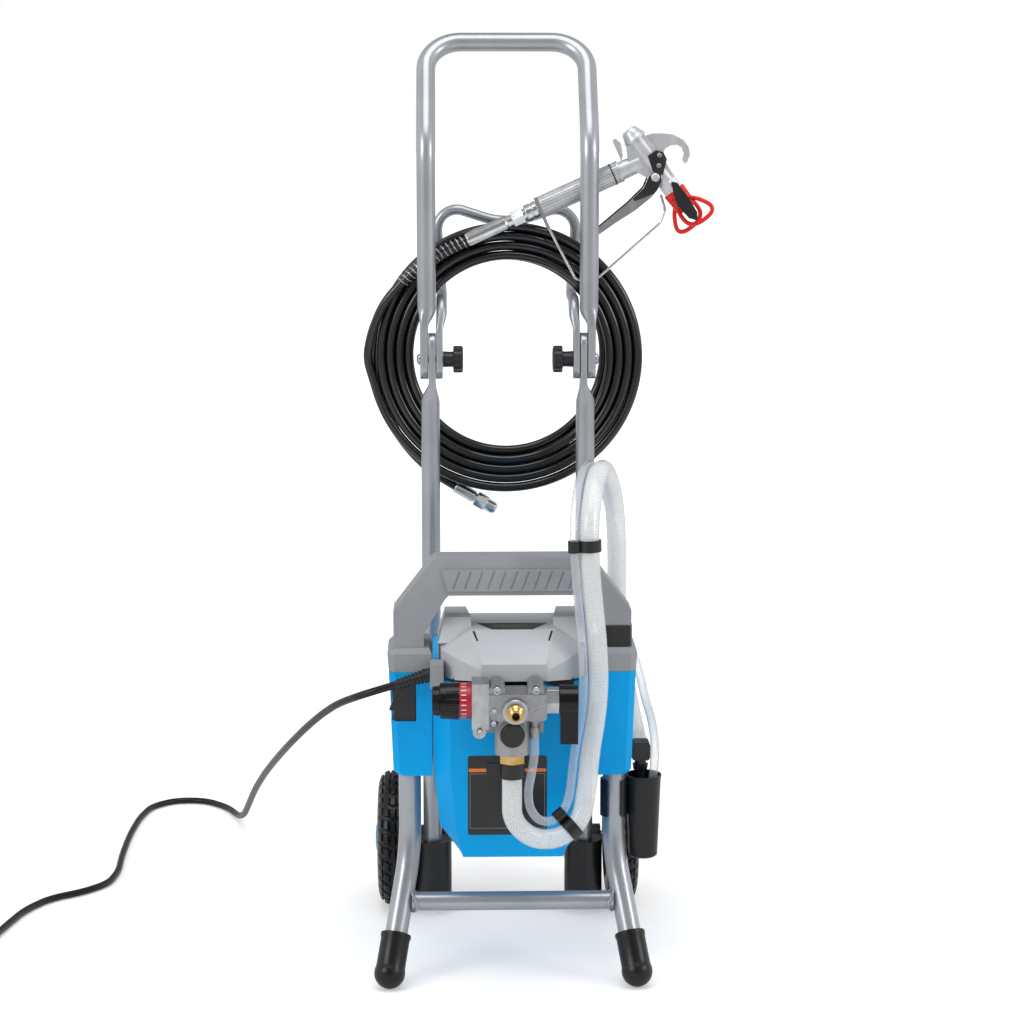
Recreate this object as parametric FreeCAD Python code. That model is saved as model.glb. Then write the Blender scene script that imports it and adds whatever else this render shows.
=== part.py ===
import FreeCAD, Part
import math
import os

# An airless paint sprayer on an upright two-wheeled cart, in millimetres.
# X points to the viewer's right, Y to the back, Z up from the floor, and the
# cart's plane of symmetry is X = 0 until the pieces are shifted at the end.

V = FreeCAD.Vector
os.makedirs("parts", exist_ok=True)

# Clearances
seat_gap = 0.3          # between pieces that rest against each other
run_gap = 0.05          # radial, of a shaft or pin in its bore

# Cart tubes
upright_d = 22.2
upright_x = 92.0
upright_y = 200.0
upright_bottom_z = 12.0
tube_wall = 1.6
leg_d = 25.4
leg_y = 0.0
leg_bend_z = 140.0
rail_z = 256.0
rail_bend_r = 30.0
leg_bend_r = 120.0
foot_x = 139.0
foot_y = -70.0
foot_cap_r = 16.5
foot_ball_r = 17.5
foot_flat = 1.0
foot_cap_length = 45.0
crossbar_d = 21.3
crossbar_z = 88.0
rear_bar_z = 300.0

# Folding handle and its clamping joint
handle_x = 96.0
pivot_z = 680.0
handle_top_z = 1051.0
handle_rise = 114.0
kink_z = handle_top_z - handle_rise
kink_r = 70.0
handle_lean = 40.0
handle_corner_r = 42.0
handle_cheek_t = 9.5
tongue_t = 8.5
hanger_cheek_t = 8.0
flat_length = 23.0
cheek_end = 23.0
tongue_end = 31.0
handle_round_z = 741.0
joint_bolt_r = 4.0
bolt_head_r = 6.5
knob_neck_r = 9.5
knob_neck_length = 12.0
knob_head_r = 16.0
knob_head_length = 12.0
knob_lobe_depth = 1.6
knob_lobes = 6

# Hose hanger
rod_d = 12.7
hanger_arm_z = 749.5
hanger_back_y = 285.0
hanger_peak_x = 86.0
hanger_peak_z = 862.0
hanger_dip_z = 834.0

# Wheels
wheel_r = 82.5
wheel_width = 40.0
wheel_x = 140.0
axle_y = 240.0
axle_r = 6.35
rim_r = 52.0
hub_r = 16.0
hub_cap_r = 25.0
tread_grooves = 24
tread_depth = 3.0
sleeve_r = 23.0
sleeve_top_z = 92.0
sleeve_bottom_z = 14.0

# Motor housing
shell_half_w = 90.0
shell_low_half_w = 58.0
shell_bottom_z = 145.0
shell_top_z = 347.7
shell_front_y = -55.0
shell_side_y = -28.0
shell_wall = 3.0
flank_outer_x = 138.5
flank_low_x = 134.0
flank_bottom_z = 234.0
flank_top_z = 353.0
flank_back_y = 58.0
flank_wall = 3.0
cap_top_z = 380.0
vent_slots = 7

# Carry handle
carry_x = 133.0
carry_inner_x = 99.0
carry_shoulder_z = 422.0
carry_top_z = 481.0
carry_top_x = 86.0
carry_grip_x = 71.0
carry_grip_z = 439.0
carry_half_y = 22.0
grip_panel_ribs = 11

# Hood
hood_nose_y = -95.0
hood_back_y = 62.0
hood_wall = 3.0
ear_z = 411.0

# Pump
pump_y = -124.0
pump_front_y = -145.0
pump_back_y = -100.0
pump_left_x = -28.0
pump_right_x = 34.0
pump_low_z = 326.0
pump_top_z = 355.0
pump_axis_z = 341.0
outlet_z = 337.5
outlet_boss_r = 13.5
outlet_thread_r = 6.8
outlet_thread_length = 12.0
inlet_x = -3.0
inlet_r = 19.0
inlet_bottom_z = 285.5
button_z = 311.0
button_r = 13.0
button_travel = 4.0
inlet_nut_af = 26.0
inlet_nut_h = 10.2
clamp_h = 16.0
knob_r = 20.5
knob_w = 29.0
scale_ring_r = 19.5
scale_ring_w = 13.6
sensor_w = 18.6
prime_collar_w = 14.0
prime_lever_w = 20.0
prime_lever_r = 16.5
prime_tab_z = 297.0
barb_x = 21.5
barb_z = 302.0

# Drive train inside the housing
motor_y = 70.0
motor_r = 42.0
motor_bottom_z = 172.0
motor_top_z = 284.0
shaft_r = 4.0
fan_r = 36.0
fan_blades = 9
gear_module = 1.5
pinion_teeth = 12
gear_teeth = 52
gear_z = 298.0
gear_h = 10.0
crank_throw = 8.0
crank_pin_r = 5.0
piston_r = 9.0

# Gun, in its own frame: x towards the spray tip, z towards the hook
gun_x = 174.0
gun_y = 224.6
gun_z = 893.0
gun_turn = 52.4
grip_r = 13.0
grip_flutes = 24
grip_top = (-30.3, -27.6)
grip_base = (-54.2, -127.7)
barrel_z = 8.5
trigger_length = 107.0
trigger_half_w = 13.1
trigger_wall = 1.2
barrel_r = 11.5
trigger_pin_r = 3.0
guard_wire_r = 1.6
tip_x = 42.0

# Cords and hoses
paint_hose_d = 10.8
coil_z = 680.0
coil_front_y = 239.0
coil_inner_r = 117.0
coil_turns_in = 4.0
coil_turns_out = 3.639
coil_pitch = 11.3
coil_start_angle = 195.0
coil_leave_swell = 12.0
spring_wire_d = 2.4
spring_curls = 15
suction_hose_d = 22.0
prime_tube_d = 10.0
power_cord_d = 8.5
cord_lift = 0.3
clip_width = 13.0
clip_wall = 2.2
clip_lower_at = 144.0
clip_upper_at = 462.0


# Geometry helpers

def box(x0, x1, y0, y1, z0, z1):
    return Part.makeBox(x1 - x0, y1 - y0, z1 - z0, V(x0, y0, z0))


def rod(start, axis, radius, length):
    return Part.makeCylinder(radius, length, V(*start), V(*axis))


def polygon(points):
    corners = [V(*p) for p in points]
    return Part.Face(Part.makePolygon(corners + corners[:1]))


def prism_y(points, y0, y1):
    """An outline of (x, z) points, carried from y0 to y1."""
    return polygon([(x, y0, z) for x, z in points]).extrude(V(0, y1 - y0, 0))


def prism_x(points, x0, x1):
    """An outline of (y, z) points, carried from x0 to x1."""
    return polygon([(x0, y, z) for y, z in points]).extrude(V(x1 - x0, 0, 0))


def turned(start, axis, profile):
    """A solid of revolution whose (distance, radius) profile lies along an axis."""
    corners = [(profile[0][0], 0.0)] + list(profile) + [(profile[-1][0], 0.0)]
    face = polygon([(r, 0.0, d) for d, r in corners])
    solid = face.revolve(V(0, 0, 0), V(0, 0, 1), 360)
    solid.Placement = FreeCAD.Placement(V(*start), FreeCAD.Rotation(V(0, 0, 1), V(*axis)))
    return solid


def hexagon(start, axis, across_flats, length):
    r = across_flats / math.sqrt(3)
    angles = [math.radians(60 * k + 30) for k in range(6)]
    solid = polygon([(r * math.cos(a), r * math.sin(a), 0) for a in angles]).extrude(V(0, 0, length))
    solid.Placement = FreeCAD.Placement(V(*start), FreeCAD.Rotation(V(0, 0, 1), V(*axis)))
    return solid


def ruled(sections):
    """A solid with flat or ruled sides through closed outlines of points."""
    wires = []
    for section in sections:
        corners = [V(*p) for p in section]
        wires.append(Part.makePolygon(corners + corners[:1]))
    return Part.makeLoft(wires, True, True)


def arc_mid(start, corner, end):
    """Middle of the arc that touches both sides of a corner at start and end."""
    chord = end - start
    half = (corner - start).getAngle(chord)
    middle = start + chord * 0.5
    return middle + (corner - middle) * (math.tan(half / 2) / math.tan(half))


def bent(points, radii):
    """A wire of straight runs joined by tangent arcs of the given radii."""
    pts = [V(*p) for p in points]
    edges = []
    last = pts[0]
    for i, radius in enumerate(radii, start=1):
        back = (pts[i - 1] - pts[i]).normalize()
        ahead = (pts[i + 1] - pts[i]).normalize()
        reach = radius * math.tan((math.pi - back.getAngle(ahead)) / 2)
        start = pts[i] + back * reach
        end = pts[i] + ahead * reach
        if (start - last).Length > 0.001:
            edges.append(Part.LineSegment(last, start).toShape())
        edges.append(Part.Arc(start, arc_mid(start, pts[i], end), end).toShape())
        last = end
    edges.append(Part.LineSegment(last, pts[-1]).toShape())
    return Part.Wire(edges)


def cord_radii(points):
    """The largest arc at each point of a cord: 0.45 of its shorter run."""
    pts = [V(*p) for p in points]
    radii = []
    for i in range(1, len(pts) - 1):
        before = pts[i] - pts[i - 1]
        after = pts[i + 1] - pts[i]
        half = before.getAngle(after) / 2
        radii.append(0.45 * min(before.Length, after.Length) / math.tan(half))
    return radii


def piped(path, diameter):
    first = path.Edges[0]
    start = first.valueAt(first.FirstParameter)
    along = first.tangentAt(first.FirstParameter)
    circle = Part.Wire(Part.makeCircle(diameter / 2, start, along))
    return path.makePipeShell([circle], True, False)


def hollow_tube(path, diameter, wall):
    return piped(path, diameter).cut(piped(path, diameter - 2 * wall))


def cord(name, points, diameter):
    """A cord's tube; prints its radii and compares its volume with its length."""
    radii = cord_radii(points)
    path = bent(points, radii)
    solid = piped(path, diameter)
    expected = math.pi * diameter ** 2 / 4 * path.Length
    print(name, "length", round(path.Length), "volume ratio", round(solid.Volume / expected, 4))
    print("  radii", [round(r) for r in radii], "least", round(min(radii) / diameter, 1), "diameters")
    return solid


def circle_in_four(x, y, z, radius):
    """A level circle as four arcs that face the sides of a flattened end."""
    corners = [V(x + radius * math.cos(math.radians(a)), y + radius * math.sin(math.radians(a)), z)
               for a in (-45, 45, 135, 225)]
    middles = [V(x + radius * math.cos(math.radians(a)), y + radius * math.sin(math.radians(a)), z)
               for a in (0, 90, 180, 270)]
    arcs = [Part.Arc(corners[k], middles[k], corners[(k + 1) % 4]).toShape() for k in range(4)]
    return Part.Wire(arcs)


def flattened(x, radius, z_round, x0, x1, half_w, z_flat):
    """The stretch where a round tube is pressed into a flat end."""
    y0, y1 = upright_y - half_w, upright_y + half_w
    flat = [V(x1, y0, z_flat), V(x1, y1, z_flat), V(x0, y1, z_flat), V(x0, y0, z_flat)]
    wires = [circle_in_four(x, upright_y, z_round, radius), Part.makePolygon(flat + flat[:1])]
    return Part.makeLoft(wires, True, True)


def lug(x0, x1, half_w, z_open, z_end):
    """A flat plate across X that ends in a half round at z_end."""
    centre_z = z_end + half_w if z_end < z_open else z_end - half_w
    plate = box(x0, x1, upright_y - half_w, upright_y + half_w, min(z_open, centre_z), max(z_open, centre_z))
    return plate.fuse(rod((x0, upright_y, centre_z), (1, 0, 0), half_w, x1 - x0))


def mirror_x(shape):
    return shape.mirror(V(0, 0, 0), V(1, 0, 0))


def pair(shape):
    """A piece and its mirror image in one node."""
    return Part.makeCompound([shape, mirror_x(shape)])


def toothed(teeth, module, height, x, y, z, turn, backlash=0.12):
    """A spur gear of straight-flanked teeth, turned so that a tooth or gap meets its mate."""
    pitch = module * teeth / 2
    root, tip = pitch - 1.25 * module, pitch + module
    root_half = math.pi / teeth * 0.74 - backlash / pitch
    pitch_half = math.pi / teeth * 0.50 - backlash / pitch
    tip_half = math.pi / teeth * 0.24
    points = []
    for k in range(teeth):
        centre = 2 * math.pi * k / teeth + turn
        for r, off in ((root, -root_half), (pitch, -pitch_half), (tip, -tip_half),
                       (tip, tip_half), (pitch, pitch_half), (root, root_half)):
            points.append((x + r * math.cos(centre + off), y + r * math.sin(centre + off), z))
    return polygon(points).extrude(V(0, 0, height))


parts = {}

# Cart frame

r_up = upright_d / 2
r_leg = leg_d / 2
r_rod = rod_d / 2
flat_half = (math.pi * upright_d / 2 - tongue_t) / 2
leg_x = upright_x + r_up + r_leg + seat_gap
tongue_x0 = upright_x - tongue_t + 2.0
tongue_x1 = tongue_x0 + tongue_t
cheek_x0 = tongue_x1 + seat_gap
cheek_x1 = cheek_x0 + handle_cheek_t
hang_x1 = tongue_x0 - seat_gap
hang_x0 = hang_x1 - hanger_cheek_t


def joint_hole(x0, x1, radius):
    return rod((x0, upright_y, pivot_z), (1, 0, 0), radius, x1 - x0)


def make_upright():
    """The fixed upright: a round tube with its top pressed into a tongue."""
    flat_z = pivot_z - cheek_end - 5.0
    round_z = flat_z - flat_length
    path = Part.Wire(Part.LineSegment(V(upright_x, upright_y, upright_bottom_z),
                                      V(upright_x, upright_y, round_z)).toShape())
    tube = hollow_tube(path, upright_d, tube_wall)
    press = flattened(upright_x, r_up, round_z, tongue_x0, tongue_x1, flat_half, flat_z)
    tongue = lug(tongue_x0, tongue_x1, flat_half, flat_z, pivot_z + tongue_end)
    hole = joint_hole(tongue_x0 - 1, tongue_x1 + 1, joint_bolt_r + run_gap)
    return tube.fuse([press, tongue]).removeSplitter().cut(hole)


foot_ball = V(foot_x, foot_y, foot_ball_r - foot_flat)
leg_drop = (foot_ball - V(leg_x, leg_y, leg_bend_z)).normalize()
leg_end = foot_ball - leg_drop * 2.0


def make_leg():
    """Front leg: splayed at the foot, upright, then bent back into a rail."""
    points = [tuple(leg_end), (leg_x, leg_y, leg_bend_z), (leg_x, leg_y, rail_z),
              (leg_x, upright_y + r_up + 6.0, rail_z)]
    return hollow_tube(bent(points, [leg_bend_r, rail_bend_r]), leg_d, tube_wall)


def leg_envelope(extra):
    points = [tuple(leg_end), (leg_x, leg_y, leg_bend_z), (leg_x, leg_y, rail_z),
              (leg_x, upright_y + r_up + 6.0, rail_z)]
    return piped(bent(points, [leg_bend_r, rail_bend_r]), leg_d + 2 * extra)


def make_foot_cap():
    """Rubber foot: a blind sleeve on the leg whose ball end has a small flat sole."""
    sleeve = rod(tuple(foot_ball), tuple(leg_drop * -1), foot_cap_r, foot_cap_length)
    ball = Part.makeSphere(foot_ball_r, foot_ball)
    bore = rod(tuple(leg_end), tuple(leg_drop * -1), r_leg + run_gap, foot_cap_length + 10)
    below = box(foot_x - 2 * foot_ball_r, foot_x + 2 * foot_ball_r,
                foot_y - 2 * foot_ball_r, foot_y + 2 * foot_ball_r, -2 * foot_flat, 0.0)
    return sleeve.fuse(ball).removeSplitter().cut([bore, below])


right_upright = make_upright()
right_leg = make_leg()
right_foot = make_foot_cap()
parts["upright_right"], parts["upright_left"] = right_upright, mirror_x(right_upright)
parts["front_leg_right"], parts["front_leg_left"] = right_leg, mirror_x(right_leg)
parts["foot_caps"] = pair(right_foot)

# The crossbar is coped to the legs; the rear bar ends flat against the uprights.
leg_solid = leg_envelope(0.0)
bar_y = leg_y + leg_drop.y / leg_drop.z * (crossbar_z - leg_bend_z)
crossbar = rod((-leg_x, bar_y, crossbar_z), (1, 0, 0), crossbar_d / 2, 2 * leg_x)
crossbar = crossbar.cut([leg_solid, mirror_x(leg_solid)])
crossbar = max(crossbar.Solids, key=lambda s: s.Volume)
crossbar = crossbar.cut(rod((-leg_x, bar_y, crossbar_z), (1, 0, 0), crossbar_d / 2 - tube_wall, 2 * leg_x))
rear_bar = rod((-upright_x, upright_y, rear_bar_z), (1, 0, 0), r_up, 2 * upright_x)
upright_core = rod((upright_x, upright_y, 0), (0, 0, 1), r_up, pivot_z)
rear_bar = rear_bar.cut([upright_core, mirror_x(upright_core)])
rear_bar = max(rear_bar.Solids, key=lambda s: s.Volume)
rear_bar = rear_bar.cut(rod((-upright_x, upright_y, rear_bar_z), (1, 0, 0), r_up - tube_wall, 2 * upright_x))
parts["crossbars"] = Part.makeCompound([crossbar, rear_bar])


def make_handle():
    """The folding handle: two legs, bent back above the kink, and a top bar."""
    top_y = upright_y + handle_rise * math.tan(math.radians(handle_lean))
    points = [(handle_x, upright_y, handle_round_z), (handle_x, upright_y, kink_z),
              (handle_x, top_y, handle_top_z), (-handle_x, top_y, handle_top_z),
              (-handle_x, upright_y, kink_z), (-handle_x, upright_y, handle_round_z)]
    tube = hollow_tube(bent(points, [kink_r, handle_corner_r, handle_corner_r, kink_r]), upright_d, tube_wall)
    flat_z = handle_round_z - flat_length
    press = flattened(handle_x, r_up, handle_round_z, cheek_x0, cheek_x1, flat_half, flat_z)
    cheek = lug(cheek_x0, cheek_x1, flat_half, flat_z, pivot_z - cheek_end)
    end = press.fuse(cheek).cut(joint_hole(cheek_x0 - 1, cheek_x1 + 1, joint_bolt_r + run_gap))
    return tube.fuse([end, mirror_x(end)]).removeSplitter()


def make_hanger():
    """One bent rod that carries the hose, with a flat eye at each end."""
    x = handle_x - r_up - seat_gap - r_rod
    start_z = hanger_arm_z - 22.0
    half = [(x, upright_y, start_z), (x, upright_y, hanger_arm_z), (x, hanger_back_y, hanger_arm_z),
            (hanger_peak_x, hanger_back_y, hanger_peak_z)]
    points = half + [(0, hanger_back_y, hanger_dip_z)] + [(-p[0], p[1], p[2]) for p in reversed(half)]
    bar = piped(bent(points, [21.9, 22.0, 24.0, 90.0, 24.0, 22.0, 21.9]), rod_d)
    eye_top = start_z - 14.0
    press = flattened(x, r_rod, start_z, hang_x0, hang_x1, flat_half, eye_top)
    eye = lug(hang_x0, hang_x1, flat_half, eye_top, pivot_z - cheek_end)
    end = press.fuse(eye).cut(joint_hole(hang_x0 - 1, hang_x1 + 1, joint_bolt_r + run_gap))
    return bar.fuse([end, mirror_x(end)]).removeSplitter()


parts["folding_handle"] = make_handle()
parts["hose_hanger"] = make_hanger()

knob_x1 = hang_x0 - seat_gap
knob_x0 = knob_x1 - knob_neck_length - knob_head_length
bolt_in = knob_x0 + 6.0


def make_joint_bolt():
    """Carriage bolt through both cheeks and the tongue, domed outside."""
    shank = rod((bolt_in, upright_y, pivot_z), (1, 0, 0), joint_bolt_r, cheek_x1 + seat_gap - bolt_in)
    head = turned((cheek_x1 + seat_gap, upright_y, pivot_z), (1, 0, 0),
                  [(0, bolt_head_r), (1.2, bolt_head_r), (2.8, bolt_head_r * 0.8), (3.8, bolt_head_r * 0.4)])
    return shank.fuse(head).removeSplitter()


def make_clamp_knob():
    """Lobed hand knob with a neck and a blind bore for the bolt."""
    head_x1 = knob_x1 - knob_neck_length
    head = rod((knob_x0, upright_y, pivot_z), (1, 0, 0), knob_head_r, knob_head_length)
    neck = rod((head_x1, upright_y, pivot_z), (1, 0, 0), knob_neck_r, knob_neck_length)
    scoop_r = knob_head_r * 0.55
    for k in range(knob_lobes):
        angle = 2 * math.pi * k / knob_lobes
        away = knob_head_r + scoop_r - knob_lobe_depth
        head = head.cut(rod((knob_x0 - 1, upright_y + away * math.cos(angle), pivot_z + away * math.sin(angle)),
                            (1, 0, 0), scoop_r, knob_head_length + 2))
    bore = rod((bolt_in - 1.0, upright_y, pivot_z), (1, 0, 0), joint_bolt_r + run_gap, knob_x1 - bolt_in + 2)
    return head.fuse(neck).cut(bore)


right_bolt = make_joint_bolt()
right_knob = make_clamp_knob()
parts["joint_bolts"] = pair(right_bolt)
parts["clamp_knob_right"], parts["clamp_knob_left"] = right_knob, mirror_x(right_knob)

# Wheels and axle

wheel_in = wheel_x - wheel_width / 2
wheel_out = wheel_x + wheel_width / 2
axle_end = wheel_out - 6.0


def make_sleeve():
    """Moulded bracket round the upright's foot that carries the axle."""
    post = rod((upright_x, upright_y, sleeve_bottom_z), (0, 0, 1), sleeve_r, sleeve_top_z - sleeve_bottom_z)
    arm = box(upright_x - sleeve_r, upright_x + sleeve_r, upright_y, axle_y, wheel_r - 18, wheel_r + 8)
    eye = rod((upright_x - sleeve_r, axle_y, wheel_r), (1, 0, 0), 15.0, 2 * sleeve_r)
    tube = rod((upright_x, upright_y, 0), (0, 0, 1), r_up + run_gap, sleeve_top_z + 5)
    hole = rod((upright_x - sleeve_r - 1, axle_y, wheel_r), (1, 0, 0), axle_r + run_gap, 2 * sleeve_r + 2)
    return post.fuse([arm, eye]).removeSplitter().cut([tube, hole])


def make_tyre():
    """Solid rubber tyre with a round shoulder and a blocky tread."""
    half = wheel_width / 2
    shoulder = 9.0
    profile = [(-half + 3, rim_r), (-half, rim_r + 5), (-half, wheel_r - shoulder),
               (-half + shoulder * 0.3, wheel_r - shoulder * 0.35), (-half + shoulder, wheel_r),
               (half - shoulder, wheel_r), (half - shoulder * 0.3, wheel_r - shoulder * 0.35),
               (half, wheel_r - shoulder), (half, rim_r + 5), (half - 3, rim_r)]
    face = polygon([(wheel_x + d, axle_y + r, wheel_r) for d, r in profile])
    solid = face.revolve(V(wheel_x, axle_y, wheel_r), V(1, 0, 0), 360)
    groove_w = 5.0
    cuts = []
    for k in range(tread_grooves):
        side = 1 if k % 2 else -1
        x0 = wheel_x if side > 0 else wheel_in - 1
        groove = box(x0, x0 + half + 1, axle_y - groove_w / 2, axle_y + groove_w / 2,
                     2 * wheel_r - tread_depth, 2 * wheel_r + 2)
        groove.rotate(V(wheel_x, axle_y, wheel_r), V(1, 0, 0), 360 * k / tread_grooves)
        cuts.append(groove)
    return solid.cut(cuts)


def make_hub():
    """Moulded wheel centre: rim band, web and hub, with a cap that hides the axle's end."""
    band = rod((wheel_in + 3, axle_y, wheel_r), (1, 0, 0), rim_r - run_gap, wheel_width - 6)
    for x0, x1 in ((wheel_in + 2, wheel_x - 5), (wheel_x + 5, wheel_out - 2)):
        band = band.cut(rod((x0, axle_y, wheel_r), (1, 0, 0), rim_r - 6, x1 - x0))
    centre = rod((wheel_in + 1, axle_y, wheel_r), (1, 0, 0), hub_r, wheel_width - 9)
    cap = turned((wheel_out - 9.0, axle_y, wheel_r), (1, 0, 0),
                 [(0, hub_cap_r), (5, hub_cap_r), (10, hub_cap_r * 0.84), (13, hub_cap_r * 0.45)])
    bore = rod((wheel_in, axle_y, wheel_r), (1, 0, 0), axle_r + run_gap, axle_end + run_gap - wheel_in)
    return band.fuse([centre, cap]).removeSplitter().cut(bore)


right_sleeve = make_sleeve()
parts["axle_sleeves"] = pair(right_sleeve)
parts["axle"] = rod((-axle_end, axle_y, wheel_r), (1, 0, 0), axle_r, 2 * axle_end)
for name, shape in (("tyre", make_tyre()), ("wheel_hub", make_hub())):
    parts[name + "_right"], parts[name + "_left"] = shape, mirror_x(shape)

# Motor housing


def shell_section(y, half_w, low_half_w, knee_w, bottom_z):
    knee_z = bottom_z + 32
    belt_z = bottom_z + 95
    half = [(low_half_w, bottom_z), (knee_w, knee_z), (half_w - 2, belt_z), (half_w, shell_top_z)]
    return [(x, y, z) for x, z in half] + [(-x, y, z) for x, z in reversed(half)]


shell_back_y = upright_y - r_up - seat_gap - shell_wall
front_half_w = shell_half_w * 0.8
gearbox_half_w = 32.0
gearbox_low_z = 296.0
rod_z = pump_axis_z - 12
gear_y = motor_y - gear_module * (gear_teeth + pinion_teeth) / 2
gear_top = gear_z + gear_h
piston_front = pump_front_y + 17.0
gearbox_back_y = gear_y - gear_module * (gear_teeth / 2 + 1) - 1.5


def make_shell():
    """Blue moulded housing with a faceted front, open at the back."""
    outer = ruled([shell_section(shell_front_y, front_half_w, shell_low_half_w - 2, 64, shell_bottom_z + 2),
                   shell_section(shell_side_y, shell_half_w, shell_low_half_w, 82, shell_bottom_z)])
    rear = ruled([shell_section(shell_side_y, shell_half_w, shell_low_half_w, 82, shell_bottom_z),
                  shell_section(shell_back_y, shell_half_w, shell_low_half_w, 82, shell_bottom_z)])
    w = shell_wall
    inner = [(x * (shell_half_w - w) / shell_half_w, y, max(shell_bottom_z + w, min(z, shell_top_z - w)))
             for x, y, z in shell_section(shell_side_y + w, shell_half_w, shell_low_half_w, 82, shell_bottom_z)]
    back = [(x, shell_back_y + 1, z) for x, y, z in inner]
    snout = box(-gearbox_half_w - 1, gearbox_half_w + 1, shell_front_y - 1, gearbox_back_y + seat_gap,
                gearbox_low_z - 1, shell_top_z + 1)
    return outer.fuse(rear).removeSplitter().cut([ruled([inner, back]), snout])


def make_rear_cover():
    """Vented cover that closes the housing's back."""
    y0 = shell_back_y
    plate = ruled([shell_section(y0, shell_half_w, shell_low_half_w, 82, shell_bottom_z),
                   shell_section(y0 + shell_wall, shell_half_w - 2, shell_low_half_w - 2, 80, shell_bottom_z + 2)])
    slot_w = shell_half_w * 0.62
    for k in range(vent_slots):
        z = shell_bottom_z + 40 + 11.0 * k
        plate = plate.cut(box(-slot_w, slot_w, y0 - 1, y0 + shell_wall + 1, z, z + 5.0))
    return plate


flank_x0 = shell_half_w + seat_gap


def flank_section(z, outer_x, inset):
    y0, y1 = shell_side_y + inset, flank_back_y - inset
    chamfer = 7.0
    x0, x1 = flank_x0 + inset, outer_x - inset
    return [(x0, y0, z), (x1 - chamfer, y0, z), (x1, y0 + chamfer, z), (x1, y1 - chamfer, z),
            (x1 - chamfer, y1, z), (x0, y1, z)]


switch_x0, switch_x1 = 108.0, 133.0
switch_y1 = -6.0
switch_z0, switch_z1 = 297.0, 341.0


def make_flank():
    """Side pod that wraps the leg and its rail; open at the top."""
    outer = ruled([flank_section(flank_bottom_z, flank_low_x - 5, 0.0),
                   flank_section(flank_bottom_z + 5, flank_low_x, 0.0),
                   flank_section(flank_top_z, flank_outer_x, 0.0)])
    inner = ruled([flank_section(flank_bottom_z + 4, flank_low_x, flank_wall),
                   flank_section(flank_top_z + 1, flank_outer_x, flank_wall)])
    return outer.cut([inner, leg_envelope(run_gap)])


def make_left_flank():
    """The left pod has a notch in its front outer corner for the switch."""
    notch = box(-flank_outer_x - 1, -switch_x0, shell_side_y - 1, switch_y1, switch_z0, switch_z1)
    return mirror_x(make_flank()).cut(notch)


parts["motor_housing"] = make_shell()
parts["rear_cover"] = make_rear_cover()
parts["flank_right"] = make_flank()
parts["flank_left"] = make_left_flank()


def make_switch_panel():
    """Recessed black block in the left pod, with a pocket for the rocker."""
    block = box(-switch_x1, -switch_x0 - run_gap, shell_side_y + 2, switch_y1 - run_gap,
                switch_z0 + run_gap, switch_z1 - run_gap)
    pocket = box(-switch_x1 - 1, -switch_x1 + 8, -24.0, -10.0, 306.0, 334.0)
    return block.cut(pocket)


def make_rocker():
    """Rocker of the power switch, turning about a level axis along the cart."""
    outline = [(-switch_x1 + 6, 309), (-switch_x1 + 6, 331), (-switch_x1 - 2.0, 331.5),
               (-switch_x1 - 1.0, 320), (-switch_x1 - 5.5, 308.5)]
    return prism_y(outline, -23.4, -10.6)


parts["switch_panel"] = make_switch_panel()
parts["power_switch"] = make_rocker()

# Carry handle across both pods


def make_carry_handle():
    """Moulded bow over the housing with a cap on each pod and a finger gap."""
    outer = [(carry_x, cap_top_z - 2), (carry_x, carry_shoulder_z), (carry_top_x + 5, carry_top_z - 4),
             (carry_top_x, carry_top_z)]
    inner = [(carry_inner_x, cap_top_z - 2), (carry_inner_x, cap_top_z + 16), (carry_grip_x + 4, carry_grip_z - 4),
             (carry_grip_x, carry_grip_z)]
    outline = outer + [(-x, z) for x, z in reversed(outer)] + [(-x, z) for x, z in inner]
    outline += list(reversed(inner))
    bow = prism_y(outline, -carry_half_y, carry_half_y)
    cap = ruled([flank_section(flank_top_z + seat_gap, flank_outer_x, 0.0),
                 flank_section(cap_top_z - 6, flank_outer_x + 1.5, 0.0),
                 flank_section(cap_top_z, flank_outer_x - 2, 3.0)])
    return bow.fuse([cap, mirror_x(cap)]).removeSplitter()


def make_grip_panel():
    """Soft front panel of the carry handle, with slanted ribs."""
    y1 = -carry_half_y
    low, high = carry_grip_z + 5, carry_top_z - 12
    panel = prism_y([(-carry_grip_x - 2, low), (carry_grip_x + 2, low), (carry_grip_x + 8, high),
                     (-carry_grip_x - 8, high)], y1 - 2.0, y1)
    pitch = 2 * carry_grip_x / grip_panel_ribs
    grooves = []
    for k in range(grip_panel_ribs):
        x = -carry_grip_x + pitch * (k + 0.3)
        grooves.append(prism_y([(x, low + 3), (x + 2.2, low + 3), (x + 9.2, high - 3), (x + 7, high - 3)],
                               y1 - 3.0, y1 - 1.0))
    return panel.cut(grooves)


parts["carry_handle"] = make_carry_handle().fuse(make_grip_panel()).removeSplitter()

# Hood over the pump


def hood_section(y, half_w, top_w, low_z, shoulder_z, top_z):
    half = [(half_w, low_z), (half_w, shoulder_z), (top_w, top_z)]
    return [(x, y, z) for x, z in half] + [(-x, y, z) for x, z in reversed(half)]


hood_low_z = shell_top_z + seat_gap


def hood_sections(inset):
    low = hood_low_z - (1.0 if inset else 0.0)
    stations = [(hood_nose_y, 36.0, 35.0, 10.0, 370.0, 377.0), (hood_nose_y + 33, 62.0, 40.0, 4.0, 376.0, 391.0),
                (hood_nose_y + 65, 80.0, 47.0, 0.0, 380.0, 402.0), (hood_back_y, 84.0, 50.0, 0.0, 384.0, 402.0)]
    sections = []
    for y, half_w, top_w, lift, shoulder_z, top_z in stations:
        y_in = y + inset if y < 0 else y - inset
        lift_in = -1.0 if inset else lift
        sections.append(hood_section(y_in, half_w - inset, top_w - inset, low + lift_in,
                                     shoulder_z - inset, top_z - inset))
    return sections


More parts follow.
